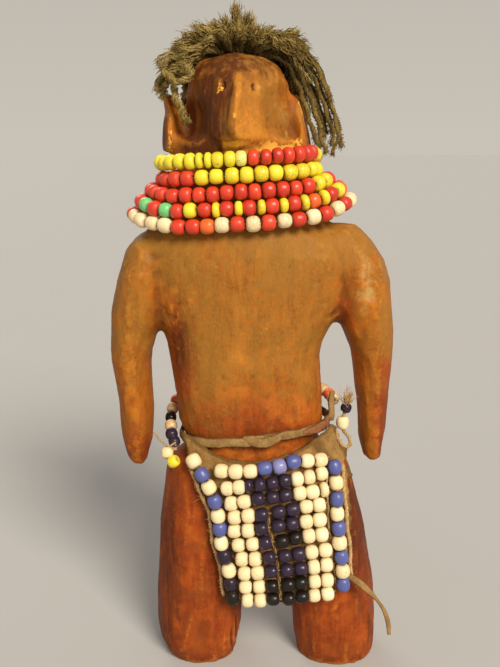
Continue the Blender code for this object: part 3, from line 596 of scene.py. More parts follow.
def glass_look(name):
    light, deep = GLASS_COLOURS[name]
    pale, dark = name in PALE_GLASS, name in DARK_GLASS
    look = Look("glass_" + name)
    island = look.add("ShaderNodeNewGeometry").outputs["Random Per Island"]
    patch = look.span(look.noise(3.2, 3.0, 0.6), 0.3, 0.7, 0.0, 0.4)
    colour = look.mix(look.sum(look.scaled(island, 0.7), patch), light, deep)
    dirt = look.noise(0.55, 3.0, 0.7)
    dirty = look.sum(dirt, look.scaled(look.sum(island, -0.5), 0.14))
    colour = look.tint(colour, dirty, 0.58 if pale else 0.66, 0.72, 0.8 if pale else 0.4, BEAD_DIRT)
    stain = tuple(0.55 * channel + 0.25 * dust for channel, dust in zip(deep, BEAD_DIRT))
    colour = look.tint(colour, look.ragged("grime", dirt, 0.3, 0.7, -0.3, 0.3), 0.35, 1.1, 0.9, stain)
    dull = look.sum(look.noise(1.4, 3.0), look.value("grime"))
    roughness = look.span(dull, 0.3, 1.1, 0.20 if dark else 0.33, 0.65)
    look.finish(colour, roughness, look.noise(0.8, 2.0), 0.03, 0.3 if dark else 0.5)
    return look.shade({"IOR": 1.52, "Coat Weight": 0.0 if dark else 0.08, "Coat Roughness": 0.2})


def fibre_look(name, light, deep, size, sheen=0.0):
    look = Look(name)
    island = look.add("ShaderNodeNewGeometry").outputs["Random Per Island"]
    patch = look.span(look.noise(size, 4.0, 0.65), 0.3, 0.7)
    colour = look.mix(look.sum(look.scaled(patch, 0.6), look.scaled(island, 0.4)), light, deep)
    # Painted shade: darker towards the yarn's roots, from the grime attribute, which is 0 on threads and
    # cords
    root = tuple(0.3 * channel for channel in deep)
    colour = look.tint(colour, look.value("grime"), 0.05, 1.0, 0.9, root)
    look.finish(colour, 0.92, look.noise((0.3, 0.3, 0.9), 3.0), 0.08, 0.06)
    return look.shade({"Sheen Weight": sheen, "Sheen Roughness": 0.5})


def hide_look(name, light, deep, dark):
    look = Look(name)
    patch = look.noise(6.0, 5.0, 0.65)
    fine = look.noise(0.9, 4.0, 0.7)
    colour = look.mix(look.span(patch, 0.32, 0.68), light, deep)
    colour = look.tint(colour, fine, 0.5, 0.75, 0.6, dark)
    colour = look.tint(colour, look.value("grime"), 0.2, 1.0, 0.8, dark)
    height = look.sum(look.scaled(patch, 0.5), fine)
    return look.finish(colour, look.span(fine, 0.3, 0.7, 0.72, 0.95), height, 0.45, 0.15)


# Carved figure


def edges_of(mesh):
    edges = np.empty(len(mesh.edges) * 2, np.int64)
    mesh.edges.foreach_get("vertices", edges)
    return edges.reshape(-1, 2)


def around(values, edges, degree):
    """Mean of each point's neighbours, one column at a time."""
    total = np.empty_like(values)
    for axis in range(values.shape[1]):
        column = values[:, axis]
        total[:, axis] = np.bincount(edges[:, 0], column[edges[:, 1]], len(values))
        total[:, axis] += np.bincount(edges[:, 1], column[edges[:, 0]], len(values))
    return total / degree[:, None]


def even_out(points, edges, passes):
    """Smooth without shrinking, by one pass in and one pass out."""
    degree = np.maximum(np.bincount(edges.ravel(), minlength=len(points)), 1)
    for factor in [0.55, -0.57] * passes:
        points = points + factor * (around(points, edges, degree) - points)
    return points


def read_points(mesh):
    points = np.empty(len(mesh.vertices) * 3)
    mesh.vertices.foreach_get("co", points)
    return points.reshape(-1, 3) / MM - SHIFT


def write_points(mesh, points):
    mesh.vertices.foreach_set("co", ((points + SHIFT) * MM).ravel())
    mesh.update()


def read_normals(mesh):
    normals = np.empty(len(mesh.vertices) * 3)
    mesh.vertex_normals.foreach_get("vector", normals)
    return normals.reshape(-1, 3)


def tool_cuts(points, spacing, depth, seed):
    """Shallow dished knife cuts, deepest in the middle, with low crests between them."""
    scaled = points / np.array(spacing)
    low, high = scaled.min(axis=0), scaled.max(axis=0)
    draws = np.random.default_rng(seed)
    seeds = draws.uniform(low, high, (int(np.prod(high - low) * 1.1), 3))
    tree = KDTree(len(seeds))
    for index, place in enumerate(seeds.tolist()):
        tree.insert(place, index)
    tree.balance()
    best = np.array([tree.find(place)[2] for place in scaled.tolist()]) ** 2
    return -depth * (1 - np.minimum(best, 0.8) / 0.8)


def refine_near(mesh, centres, radius):
    """Split the faces near some points once more."""
    work = bmesh.new()
    work.from_mesh(mesh)
    middles = [Vector(((np.array(centre) + SHIFT) * MM).tolist()) for centre in centres]
    near = set()
    for edge in work.edges:
        middle = (edge.verts[0].co + edge.verts[1].co) / 2
        if any((middle - place).length < radius * MM for place in middles):
            near.add(edge)
    bmesh.ops.subdivide_edges(work, edges=list(near), cuts=2, use_grid_fill=True)
    bmesh.ops.triangulate(work, faces=[face for face in work.faces if len(face.verts) > 4])
    work.to_mesh(mesh)
    work.free()


def fine_copy(node):
    """An even, fine mesh of the CAD figure, with smaller faces round the eyes."""
    piece = bpy.data.objects.new("wood_figure", node.data.copy())
    piece.data.materials.clear()
    bpy.context.scene.collection.objects.link(piece)
    remesh = piece.modifiers.new("skin", "REMESH")
    remesh.mode = "VOXEL"
    remesh.voxel_size = WOOD_VOXEL * MM
    bpy.context.view_layer.update()
    graph = bpy.context.evaluated_depsgraph_get()
    mesh = bpy.data.meshes.new_from_object(piece.evaluated_get(graph))
    piece.modifiers.clear()
    piece.data = mesh
    write_points(mesh, even_out(read_points(mesh), edges_of(mesh), WOOD_EVEN_PASSES))
    refine_near(mesh, [(x, -19.5, z) for x, z, _ in EYES], 3.6)
    return piece


class Marks:
    """Where the carving's marks lie on the wood's points, each as a share from 0 to 1."""

    def __init__(self, points):
        x, y, z = points.T
        self.legs = 1 - ramp(z, 84, 92)
        self.trunk = (1 - self.legs) * (1 - ramp(z, 186, 192))
        self.head = ramp(z, 190, 194)
        self.front = ramp(-y, 2, 8)
        self.from_ridge = x - np.interp(z, RIDGE_HEIGHTS, RIDGE_PLACES)
        inside = band(z, RIDGE_HEIGHTS[0], RIDGE_HEIGHTS[0] + 2, RIDGE_HEIGHTS[-1] - 4, RIDGE_HEIGHTS[-1] + 1)
        self.ridge = np.exp(-(self.from_ridge / 1.5) ** 2) * inside * ramp(-y, 6, 10)
        self.facets = tool_cuts(points, (5.0, 7.0, 3.8), 1.0, 21)
        self.arm_pits = blob(points, (-31, -14, 140), (6, 9, 14)) + blob(points, (24, -14, 140), (4, 9, 9))
        chips = self.front * band(z, 192.5, 194.5, 196.6, 199.4) * band(x, -16.5, -14.5, 13, 17)
        self.chips = chips * ramp(noise(points, (3.4, 3.4, 2.2), 23, 2), -0.35, 0.1)
        self.eyes, self.rims, self.crack = 0.0, 0.0, 0.0
        wobble = 0.35 * noise(points, 0.9, 29, 2)
        behind = (1 - self.front) * 50
        for eye_x, eye_z, way in EYES:
            away = np.hypot((x - eye_x) / EYE_HALF[0], (z - eye_z) / EYE_HALF[1]) + behind + wobble
            self.eyes += np.exp(-away ** 4)
            away = np.hypot((x - eye_x - 1.2 * way) / 0.6, (z - eye_z + 0.2) / 2.0) + behind + 3.2 * wobble
            self.rims += np.exp(-away ** 4)
        for x_low, x_high, low, high in CRACKS:
            share = np.clip((z - low) / (high - low), 0, 1)
            line = x_low + (x_high - x_low) * share + 0.5 * noise(points, (40, 40, 4), 67, 2)
            crack = np.exp(-((x - line) / 0.42) ** 2) * band(z, low - 1, low + 2, high - 5, high)
            self.crack = np.maximum(self.crack, crack * self.front)


def relief(points, marks):
    """How far each point of the wood moves outwards."""
    z = points[:, 2]
    rise = 0.30 * noise(points, (9, 9, 20), 3, 2)
    rise += marks.trunk * tool_cuts(points, (9.0, 9.0, 16.0), 0.42, 7)
    rise += marks.legs * tool_cuts(points, (6.5, 6.5, 22.0), 0.65, 9)
    rise += marks.head * tool_cuts(points, (5.0, 5.0, 13.0), 0.38, 15)
    chop = blob(points, (36, -12, 147), (5, 9, 12)) + 0.7 * blob(points, (-38, -10, 158), (8, 9, 10))
    rise += 1.1 * chop * marks.facets
    rise += 0.07 * noise(points, (1.7, 1.7, 12), 11, 2)
    rise += 0.06 * noise(points, 1.6, 13, 1)
    rise -= 0.30 * ramp(noise(points, 2.6, 19, 1), 0.5, 0.9)
    rise -= 0.55 * marks.arm_pits * ramp(noise(points, (2.2, 2.2, 3.2), 41, 2), 0.15, 0.7)
    rise += 0.95 * marks.ridge * (0.25 + 0.75 * ramp(z, 198, 206))
    flat = marks.front * band(z, 196, 200, 211, 218)
    right_plane = 0.9 * np.exp(-((marks.from_ridge - 7.5) / 2.6) ** 2)
    left_plane = 0.6 * np.exp(-((marks.from_ridge + 6) / 2.6) ** 2)
    rise += flat * (right_plane + left_plane)
    return rise - 0.7 * marks.chips + 0.16 * marks.rims - 1.25 * marks.eyes - 0.9 * marks.crack


def hollow_share(mesh, points):
    """Above 0 in hollows and below 0 on crests."""
    edges, normals = edges_of(mesh), read_normals(mesh)
    degree = np.maximum(np.bincount(edges.ravel(), minlength=len(points)), 1)
    hollow = ((around(points, edges, degree) - points) * normals).sum(axis=1) / (0.06 * WOOD_VOXEL)
    for _ in range(3):
        hollow = 0.5 * hollow + 0.5 * around(hollow[:, None], edges, degree)[:, 0]
    return hollow


def wood_masks(points, marks, hollow):
    """Where each colour of the wood's material lies, painted light and shade among them."""
    x, y, z = points.T
    front, chips = marks.front, marks.chips
    wide, small = noise(points, 16, 31, 3), noise(points, 4, 37, 3)
    arms = ramp(np.abs(x + 1), 38, 42)
    arm_top = np.where(x < 0, 108, 138)
    red = strongest(
        1 - ramp(z + 7 * wide, 66, 96),
        0.85 * arms * (1 - ramp(z + 8 * wide, arm_top - 34, arm_top)),
        0.6 * ramp(y, 2, 16) * (1 - ramp(z + 12 * wide, 130, 190)),
        spots(points, RED_SPOTS),
    )
    grime = strongest(
        0.85 * ramp(z + 9 * wide, 140, 166) * (1 - ramp(z, 190, 196)),
        0.95 * ramp(z + 2 * small, 218.5, 223.5),
        0.62 * ramp(z + 9 * wide, 104, 122) * (1 - ramp(np.abs(x + 3), 25, 33)) * ramp(-y, 4, 9),
        0.62 * arms * ramp(z + 10 * wide, 105, 130),
        spots(points, GRIME_SPOTS),
    )
    # The left plane of the face: painted shade on the side turned from the light, and patina
    left_face = front * ramp(-x, 10.2, 11.0) * ramp(z, 192, 195) * (1 - 0.5 * ramp(z + small, 219, 226))
    left_face *= (1 - 0.9 * chips) * (1 - ramp(x, -15.6, -14.8) * (1 - ramp(z, 197, 198)))
    # Painted shade down the outer side of the right leg
    outer_leg_shade = 0.8 * ramp(x + 2 * small, 27, 33)
    dark = strongest(
        0.85 * left_face * (1 - 0.45 * blob(points, (-13, -20, 204), (3.0, 12, 8))),
        0.8 * band(z, 190, 194, 200, 214) * ramp(np.abs(x + 10.5), 23, 26),
        np.where(x > 0, 0.45, 0.3) * arms * (1 - ramp(z + 8 * wide, 100, 132)),
        # Painted shade on the left side of the left leg
        0.62 * (1 - ramp(x + 2 * small, -36, -28)) * (1 - ramp(z, 60, 86)),
        outer_leg_shade * ramp(z + 3 * small, 8, 56) * (1 - ramp(z, 66, 90)) * ramp(-y, -12, 4),
        0.8 * ramp(z + 2 * small, 213.5, 222.5) * (1 - 0.3 * ramp(x, -11, -5)),
        0.5 * (1 - ramp(z + small, 1.0, 7)),
        0.24 * ramp(noise(points, (8, 8, 14), 43, 3), 0.1, 0.7) * marks.legs,
        marks.eyes,
        1.1 * marks.crack,
        spots(points, PAINTED_SHADE_SPOTS),
    )
    # Painted light on the lit right plane of the face, beside the ridge
    lit = 1 - ramp(marks.from_ridge, 3 + 6 * (1 - ramp(z, 200, 215)), 14)
    plane = 0.95 * front * ramp(marks.from_ridge, -0.6, 0.4) * lit * ramp(z, 194, 197)
    belly = blob(points, (0, -18, 130), (10, 9, 20)) * ramp(noise(points, (1.4, 1.4, 2.4), 49, 2), 0.3, 0.8)
    glow = strongest(
        plane * (1 - 0.5 * ramp(z, 206, 212) - 0.5 * ramp(z, 214, 221)),
        0.9 * np.clip(marks.arm_pits, 0, 1) * ramp(noise(points, (1.2, 1.2, 3.2), 45, 2), 0.05, 0.6),
        0.63 * belly,
        spots(points, PAINTED_LIGHT_SPOTS),
    )
    # Painted highlight along the right ear's edge; painted light on the lit face of the left ear
    ear_edge_highlight = np.exp(-((x - np.interp(z, (199, 212), (15.0, 11.3))) / 0.7) ** 2)
    ragged_ear = ramp(noise(points, (0.9, 0.9, 3), 87, 2), 0.0, 0.5)
    bare = strongest(
        0.42 * marks.ridge * ramp(marks.from_ridge, -0.5, 0.3),
        1.1 * chips,
        0.95 * front * band(x, -15.4, -14.8, -10.0, -9.4) * band(z, 194.2, 194.8, 197.2, 197.9),
        0.74 * marks.rims * (x < HEAD_MIDDLE),
        0.85 * ear_edge_highlight * band(z, 197, 199, 211, 213) * ramp(-y, -3, 0),
        0.85 * blob(points, (-33.3, -2, 204), (2.6, 6, 7)) * ragged_ear,
        spots(points, BARE_SPOTS),
    )
    # Painted highlight on the shiny facets of the right upper arm
    arm_highlight = 0.95 * blob(points, (35, -12, 148), (4.2, 8, 12)) * np.clip(0.15 - marks.facets, 0, 1)
    polish = blob(points, (36, -12, 147), (6, 9, 14)) + blob(points, (-38, -10, 150), (6, 9, 16))
    return {"red": red, "grime": grime, "dark": dark, "bare": bare, "glow": glow,
            "pale": strongest(arm_highlight, spots(points, PALE_SPOTS)), "polish": np.clip(polish, 0, 1),
            # cavity is painted shade in the hollows; crest is wear on the crests
            "cavity": np.clip(hollow, 0, 1), "crest": np.clip(-hollow, 0, 1)}


def carve_figure(node, material):
    piece = fine_copy(node)
    mesh = piece.data
    points, normals = read_points(mesh), read_normals(mesh)
    x, _, z = points.T
    side = x - HEAD_MIDDLE
    wide = np.where(side < 0, 2.4 * ramp(z, 207, 214), 2.2 * ramp(z, 213, 219)) * (1 - ramp(z, 225, 228.5))
    points[:, 0] += np.sign(side) * wide * ramp(np.abs(side), 6, 13)
    marks = Marks(points)
    moved = points + normals * (relief(points, marks) * ramp(z, 0.0, 1.2))[:, None]
    moved[z < 0.15, 2] = 0.0
    moved[:, 2] = np.maximum(moved[:, 2], 0.0)
    write_points(mesh, moved)
    for key, values in wood_masks(points, marks, hollow_share(mesh, moved)).items():
        write_values(mesh, key, np.clip(values, 0, 1.2))
    mesh.materials.append(material)
    mesh.shade_smooth()
    return place_piece(piece, ["carved_figure"])


# Beads


def bead_template():
    """Axial place and radius of a barrel bead's profile, hole included, on a unit bead."""
    power = 2.7
    start = math.asin(HOLE ** (power / 2))
    steps = 11
    profile = []
    for step in range(steps + 1):
        angle = start + (math.pi - 2 * start) * step / steps
        t = math.copysign(abs(math.cos(angle)) ** (2 / power), math.cos(angle))
        profile.append((t, math.sin(angle) ** (2 / power)))
    profile += [(-0.5, HOLE * 0.85), (0.5, HOLE * 0.85)]
    return np.array(profile)


BEAD_PROFILE = bead_template()


def add_bead(shell, centre, axis, diameter, length, look):
    """One bead of its own slightly uneven shape."""
    axis = unit(axis + rng.normal(0, BEAD_WOBBLE, 3))
    side = unit(np.cross(axis, (0.37, 0.61, 0.70)))
    cross = np.cross(axis, side)
    radius = diameter / 2 * rng.uniform(*BEAD_WIDTHS)
    half = length / 2 * rng.uniform(*BEAD_LENGTHS)
    slant = rng.uniform(-BEAD_SLANT, BEAD_SLANT)
    angles = np.linspace(0, TURN, BEAD_SIDES, endpoint=False) + rng.uniform(0, 6.3)
    place, reach = BEAD_PROFILE[:, 0], BEAD_PROFILE[:, 1]
    ring = turned(side, cross, angles)
    lean = 1 + slant * np.cos(angles)
    points = centre + axis * (place[:, None] * half * lean[None, :])[:, :, None]
    points = points + ring[None, :, :] * (reach * radius)[:, None, None]
    grime = np.repeat(ramp(np.abs(place), 0.72, 1.0) + (reach < HOLE), BEAD_SIDES)
    faces = tube_faces(len(place), BEAD_SIDES, closed=True)
    shell.add(points.reshape(-1, 3), faces, look, rng.uniform(-1, 1), grime)


def bead_shares(marks):
    """Length of each bead or bare stretch, as a share of a full bead's."""
    return [GAP_SHARE if mark == "." else SHORT if mark.islower() else 1.0 for mark in marks]


def thread_beads(shell, path, marks, start, end, diameter, looks):
    """Beads between two arcs of a path; marks are the colour letters."""
    shares = bead_shares(marks)
    pitch = (end - start) / sum(shares)
    arcs = arc_of(path)
    place = start
    for mark, share in zip(marks, shares):
        length = pitch * share
        if mark != ".":
            middle = place + length / 2
            centre = point_at(path, arcs, middle)
            axis = point_at(path, arcs, middle + length * 0.4) - point_at(path, arcs, middle - length * 0.4)
            wide = diameter * (NARROW_SHARE if mark in NARROW_MARKS else 1.0)
            centre = centre + rng.normal(0, BEAD_SHIFT, 3)
            add_bead(shell, centre, axis, wide, length, looks[GLASS[mark.upper()]])
        place += length


def bead_looks(marks, glass):
    """Materials for a string of letters, and the place of each colour among them."""
    names = sorted({GLASS[mark.upper()] for mark in marks if mark != "."})
    return [glass[name] for name in names], {name: index for index, name in enumerate(names)}


def bead_string(name, path, marks, diameter, glass, thread, slot, node):
    """A piece of beads on their thread, from end to end of a path."""
    shell = Shell()
    materials, looks = bead_looks(marks, glass)
    thread_beads(shell, path, marks, 0.0, arc_of(path)[-1], diameter, looks)
    add_tube(shell, path, STRAND_THREAD / 2, 6, len(materials))
    return shell.build(name, materials + [thread], slot, [node])


def strand_path(number, surface, upper):
    x, y, z = STRAND_CENTRE
    half_width, front, back = STRAND_HALF_WIDTH, STRAND_FRONT, STRAND_BACK
    front_drop = back_drop = 0.0
    for shift, side_out, side_down, front_out, front_down, back_out, back_down in STRAND_STEPS[:number]:
        x += shift * NECK_BEAD
        z -= side_down * NECK_BEAD
        half_width += side_out * NECK_BEAD
        front += front_out * NECK_BEAD
        back += back_out * NECK_BEAD
        front_drop += (front_down - side_down) * NECK_BEAD
        back_drop += (back_down - side_down) * NECK_BEAD
    points = []
    for step in range(STRAND_STATIONS):
        angle = TURN * step / STRAND_STATIONS
        exponent = 2.0 / STRAND_POWERS[number]
        across = math.copysign(abs(math.cos(angle)) ** exponent, math.cos(angle))
        along = math.copysign(abs(math.sin(angle)) ** exponent, math.sin(angle))
        depth, drop = (front, front_drop) if along < 0 else (back, back_drop)
        height = z + STRAND_ROLL * half_width * across - drop * along ** 4
        point = np.array((x + half_width * across, y + depth * along, height))
        for _ in range(4):
            if upper is not None:
                away = point - upper
                reach = np.linalg.norm(away, axis=1)
                nearest = reach.argmin()
                if reach[nearest] < STRAND_PITCHES[number]:
                    point = upper[nearest] + away[nearest] / reach[nearest] * STRAND_PITCHES[number]
            point = push_clear(point, surface, NECK_WIDE[number] / 2 + CLEARANCE)
        points.append(point)
    return np.array(points)


def make_necklace(surface, glass, thread):
    upper = None
    for number, (first, last, front_marks, back_marks) in enumerate(NECKLACE):
        path = strand_path(number, surface, upper)
        upper = path
        # The path starts at the viewer's right and goes round the back, so its front half runs
        # from left to right, with its beads between the arcs first and last.
        twice = np.vstack([path, path, path[:1]])
        arcs = arc_of(twice)
        length = arcs[len(path)]
        pitch = (last - first) / (sum(bead_shares(front_marks)) - 1)
        start, end = first - pitch / 2, last + pitch / 2
        rest = length - (end - start)
        count = max(1, round(rest / pitch))
        behind = "".join(back_marks[index % len(back_marks)] for index in range(count))
        materials, looks = bead_looks(front_marks + behind, glass)
        shell = Shell()
        thread_beads(shell, twice, front_marks, start, end, NECK_WIDE[number], looks)
        thread_beads(shell, twice, behind, end, start + length, NECK_WIDE[number], looks)
        ring = even_steps(np.vstack([path, path[:1]]), 160)[:-1]
        add_tube(shell, ring, STRAND_THREAD / 2, 6, len(materials), closed=True)
        slot = ["yellow_glass", "yellow_glass", "red_glass", "red_glass", "white_glass"][number]
        node = f"necklace_strand_{number + 1}"
        shell.build(f"neck_beads_{number + 1}", materials + [thread], slot, [node])


# Apron


def hide_back(x, z):
    """y of the hide's inner face, as on the CAD part."""
    down = np.clip((HIDE_HEIGHTS[0] - z) / (HIDE_HEIGHTS[0] - HIDE_HEIGHTS[1]), 0.0, 1.0)
    centre = HIDE_CENTRES[0] + (HIDE_CENTRES[1] - HIDE_CENTRES[0]) * down
    wrap = HIDE_WRAPS[0] + (HIDE_WRAPS[1] - HIDE_WRAPS[0]) * down
    return -HIDE_TOP_DEPTH + wrap * ((x - centre) / HIDE_HALF_SPAN) ** 2


def hide_place(top, bottom, left, right, u, v):
    """Front-view x and z on the hide; u runs across and v down."""
    columns, rows = len(top), len(left)
    a = top[round(u * (columns - 1))]
    b = bottom[round(u * (columns - 1))]
    c = left[round(v * (rows - 1))]
    d = right[round(v * (rows - 1))]
    low = (1 - u) * bottom[0] + u * bottom[-1]
    high = (1 - u) * top[0] + u * top[-1]
    return (1 - v) * a + v * b + (1 - u) * c + u * d - (1 - v) * high - v * low


def front_point(x, z, distance, surface):
    """A point a set distance in front of the hide's inner face."""
    inner = push_clear((x, float(hide_back(x, z)), z), surface, HIDE_GAP)
    return inner + np.array((0.0, -distance, 0.0))


def make_hide(surface, material):
    columns, rows = HIDE_GRID
    top, bottom = smooth_curve(HIDE_TOP, columns), smooth_curve(HIDE_BOTTOM, columns)
    left, right = smooth_curve(HIDE_LEFT, rows), smooth_curve(HIDE_RIGHT, rows)
    inner, grime = [], []
    for row in range(rows):
        for column in range(columns):
            u, v = column / (columns - 1), row / (rows - 1)
            x, z = hide_place(top, bottom, left, right, u, v)
            point = front_point(x, z, 0.0, surface)
            edge = min(u, 1 - u, v * 1.2, (1 - v) * 1.2)
            grime.append(1 - ramp(edge, 0.0, 0.05))
            inner.append(point)
    inner = np.array(inner)
    us = np.tile(np.linspace(0, 1, columns), rows)
    vs = np.repeat(np.linspace(0, 1, rows), columns)
    rag = noise(inner, 2.2, 43, 2)
    right_rag = ramp(us, 0.96, 1) * (1.2 + 1.3 * (1 - ramp(vs, 0.3, 0.6)))
    inner[:, 0] += 0.7 * rag * (ramp(-us, -0.03, 0) + right_rag)
    inner[:, 2] += 0.7 * rag * (ramp(-vs, -0.03, 0) + ramp(vs, 0.97, 1))
    curl = ramp(us, 0.93, 1.0) * (0.5 + noise(inner, 14, 47, 1)) + ramp(-us, -0.07, 0.0) * 0.5
    flap = ramp(us, 0.72, 0.9) * (1 - ramp(vs, 0.25, 0.45))
    slanted = np.stack([inner[:, 0] + 0.6 * inner[:, 2], inner[:, 1], inner[:, 2]], axis=1)
    crease = noise(slanted, (2.4, 30, 30), 97, 2)
    inner[:, 1] += 0.35 * noise(inner, 5, 53, 3) - 0.7 * curl - 1.1 * flap * np.maximum(crease, -0.35)
    grime = np.maximum(np.array(grime), flap * (0.5 + 0.7 * crease))
    thickness = HIDE_THICKNESS * (0.75 + 0.2 * noise(inner, 4, 59, 1))
    outer = inner - np.outer(thickness, (0, 1, 0))
    sheet = columns * rows
    faces = []
    for row in range(rows - 1):
        for column in range(columns - 1):
            corner = row * columns + column
            quad = (corner, corner + columns, corner + columns + 1, corner + 1)
            faces.append(quad[::-1])
            faces.append(tuple(sheet + index for index in quad))
    rim = list(range(columns)) + [row * columns + columns - 1 for row in range(1, rows)]
    rim += [(rows - 1) * columns + column for column in range(columns - 2, -1, -1)]
    rim += [row * columns for row in range(rows - 2, 0, -1)]
    for start, end in zip(rim, rim[1:] + rim[:1]):
        faces.append((start, start + sheet, end + sheet, end))
    shell = Shell()
    shell.add(np.vstack([inner, outer]), faces, 0, 0.0, np.tile(grime, 2))
    return shell.build("hide_apron", [material], "tan_hide", ["apron_hide"])


def on_hide(points, distance, surface, sheet):
    """Points given as x and z, laid in front of the hide."""
    path = [front_point(x, z, HIDE_THICKNESS + distance, surface) for x, z in points]
    return clear_path(path, sheet, distance)


def make_apron_beads(surface, sheet, glass, thread):
    distance = APRON_BEAD / 2 + 0.15
    for number, (places, marks) in enumerate(APRON_ROWS):
        shares = bead_shares(marks)
        row = smooth_curve(places, 40)
        x, z = row[:, 0], row[:, 1]
        step = (x[-1] - x[0]) / (sum(shares) - (shares[0] + shares[-1]) / 2)
        x0, x1 = x[0] - step * shares[0] / 2, x[-1] + step * shares[-1] / 2
        stations = np.linspace(x0 - ROW_END_BARE, x1 + ROW_END_BARE, 24)
        line = [(place, np.interp(place, x, z)) for place in stations]
        path = on_hide(line, distance, surface, sheet)
        path[:, 2] += 0.22 * noise(path, 6, 61 + number, 1)
        reach = arc_of(path)[-1]
        bare = ROW_END_BARE * (reach / (x1 - x0 + 2 * ROW_END_BARE))
        shell = Shell()
        materials, looks = bead_looks(marks, glass)
        thread_beads(shell, path, marks, bare, reach - bare, APRON_BEAD, looks)
        ends = [path[0] + ROW_END_DIVE, *path[1:-1], path[-1] + ROW_END_DIVE]
        add_plied(shell, smooth_curve(ends, 70), 0.42, 1.4, len(materials))
        shell.build(f"apron_beads_{number + 1:02d}", materials + [thread], "white_glass",
                    [f"apron_row_{number + 1:02d}"])
    edges = (("left", LEFT_EDGE, LEFT_EDGE_BEADS), ("right", RIGHT_EDGE, RIGHT_EDGE_BEADS))
    for name, line, marks in edges:
        line = np.array(line)
        first, last = line[0] * 1.5 - line[1] * 0.5, line[-1] * 1.5 - line[-2] * 0.5
        route = smooth_curve(np.vstack([first, line, last]), 50)
        path = on_hide(route, distance, surface, sheet)
        bead_string(f"apron_edge_beads_{name}", path, marks, APRON_BEAD, glass, thread, "blue_glass",
                    f"apron_edge_{name}")


def make_edge_cords(surface, sheet, fibre):
    """Twisted fibre cords that bind the hide's side edges."""
    shell = Shell()
    left, right = np.array(LEFT_EDGE), np.array(RIGHT_EDGE)
    lines = [left + (-3.4, -1.0), right + (3.2, 0.0), right + (-2.9, -0.4)]
    for number, line in enumerate(lines):
        route = smooth_curve(line, 90)
        route[:, 0] += 0.25 * np.sin(np.linspace(0, 19, 90) + number)
        path = on_hide(route, 0.75, surface, sheet)
        add_plied(shell, path, 0.86 if number < 2 else 0.55, 2.6, 0, 0.1 * number, fuzz=1.2)
    gap = []
    for places, marks in APRON_ROWS[3:]:
        share = (marks.index(".") + GAP_SHARE / 2 - 0.5) / (len(marks) - 2 + GAP_SHARE)
        row = smooth_curve(places, 40)
        gap.append(row[round(share * 39)])
    gap = np.array(gap)
    for shift in (-0.25, 0.3):
        route = smooth_curve(gap + (shift, 0.0), 100)
        path = on_hide(route, 1.2, surface, sheet)
        path[:, 1] -= 1.1 * np.sin(np.linspace(0, 6 * math.pi, 100) + shift * 9) ** 2
        add_plied(shell, path, 0.24, 1.3, 0, 0.3)
    return shell.build("apron_edge_cords", [fibre], "tan_hide")


# Thong, strings and tie


def add_strip(shell, path, outward, widths, thick, look=0, seed=71):
    """A flat leather strip with uneven edges; what varies has one value per station."""
    along = unit(np.gradient(path, axis=0))
    out = unit(outward - along * (outward * along).sum(axis=1, keepdims=True))
    cross = np.cross(along, out)
    sides = 12
    angles = np.linspace(0, TURN, sides, endpoint=False)
    rag = 1 + 0.14 * noise(path, 2.4, seed, 2)
    pinch = 1 + 0.25 * noise(path, 3.1, seed + 5, 1)
    across = np.sign(np.cos(angles)) * np.abs(np.cos(angles)) ** 0.7
    depth = np.sign(np.sin(angles)) * np.abs(np.sin(angles)) ** 0.8
    wide = (widths / 2 * rag)[:, None, None] * across[None, :, None] * cross[:, None, :]
    deep = (thick / 2 * pinch)[:, None, None] * depth[None, :, None] * out[:, None, :]
    grime = np.tile(ramp(np.abs(across), 0.7, 1.0), len(path))
    shell.add((path[:, None, :] + wide + deep).reshape(-1, 3), tube_faces(len(path), sides), look, 0.0, grime)


def make_thong(surface, leather, wrap):
    shell = Shell()
    points, outward = [], []
    for step in range(THONG_STEPS + 1):
        angle = KNOT_ANGLE + 0.05 + TURN * step / THONG_STEPS
        away = level_direction(angle)
        level = THONG_LEVEL + THONG_SLOPE * THONG_REACH * away[0]
        hit = surface.ray_cast(Vector((THONG_CENTRE, 0.0, level)), Vector(away.tolist()))[0]
        points.append(push_clear(np.array(hit) + away * 1.6, surface, 1.15))
        outward.append(away)
    path, outward = np.array(points), np.array(outward)
    path[:, 2] += 0.35 * noise(path, 7, 73, 2)
    add_strip(shell, path, outward, THONG_WIDTH, THONG_THICKNESS)
    knot, front = path[0], outward[0]
    for number, (start, end, lift) in enumerate(KNOT_PARTS):
        route = []
        for share in np.linspace(0, 1, 24):
            shift = start[0] + (end[0] - start[0]) * share
            rise = start[1] + (end[1] - start[1]) * share + 0.8 * math.sin(math.pi * share) * (1 - number)
            bulge = lift * math.sin(math.pi * share) ** 0.7
            route.append(knot + np.array((shift, 0.0, rise + THONG_SLOPE * shift)) + front * bulge)
        route = clear_path(route, surface, 1.2)
        lens = 1.0 + 3.6 * np.sin(np.linspace(0, math.pi, 24))
        widths = lens if number == 2 else np.linspace(2.6, 1.8, 24)
        add_strip(shell, route, front, widths, 1.1, 0, 79 + number)
    stub = clear_path(smooth_curve(THONG_END, 20), surface, 1.1)
    add_strip(shell, stub, np.array((0.4, -1.0, 0.0)), np.linspace(3.0, 2.2, 20), THONG_THICKNESS, 0, 83)
    wrapped, away = path[20:46] + 0.45 * outward[20:46], outward[20:46]
    add_strip(shell, wrapped, away, 5.0 * np.sin(np.linspace(0.25, 2.4, 26)), 1.2, 1, 91)
    return shell.build("waist_thong_leather", [leather, wrap], "grey_leather", ["waist_thong"])


def make_hip_string(surface, glass, thread):
    path = clear_path(smooth_curve(HIP_STRING, 60), surface, HIP_BEAD / 2 + CLEARANCE)
    marks = (HIP_BEADS * 2)[:round(arc_of(path)[-1] / HIP_BEAD_LENGTH)]
    return bead_string("hip_beads", path, marks, HIP_BEAD, glass, thread, "navy_glass", "hip_bead_string")


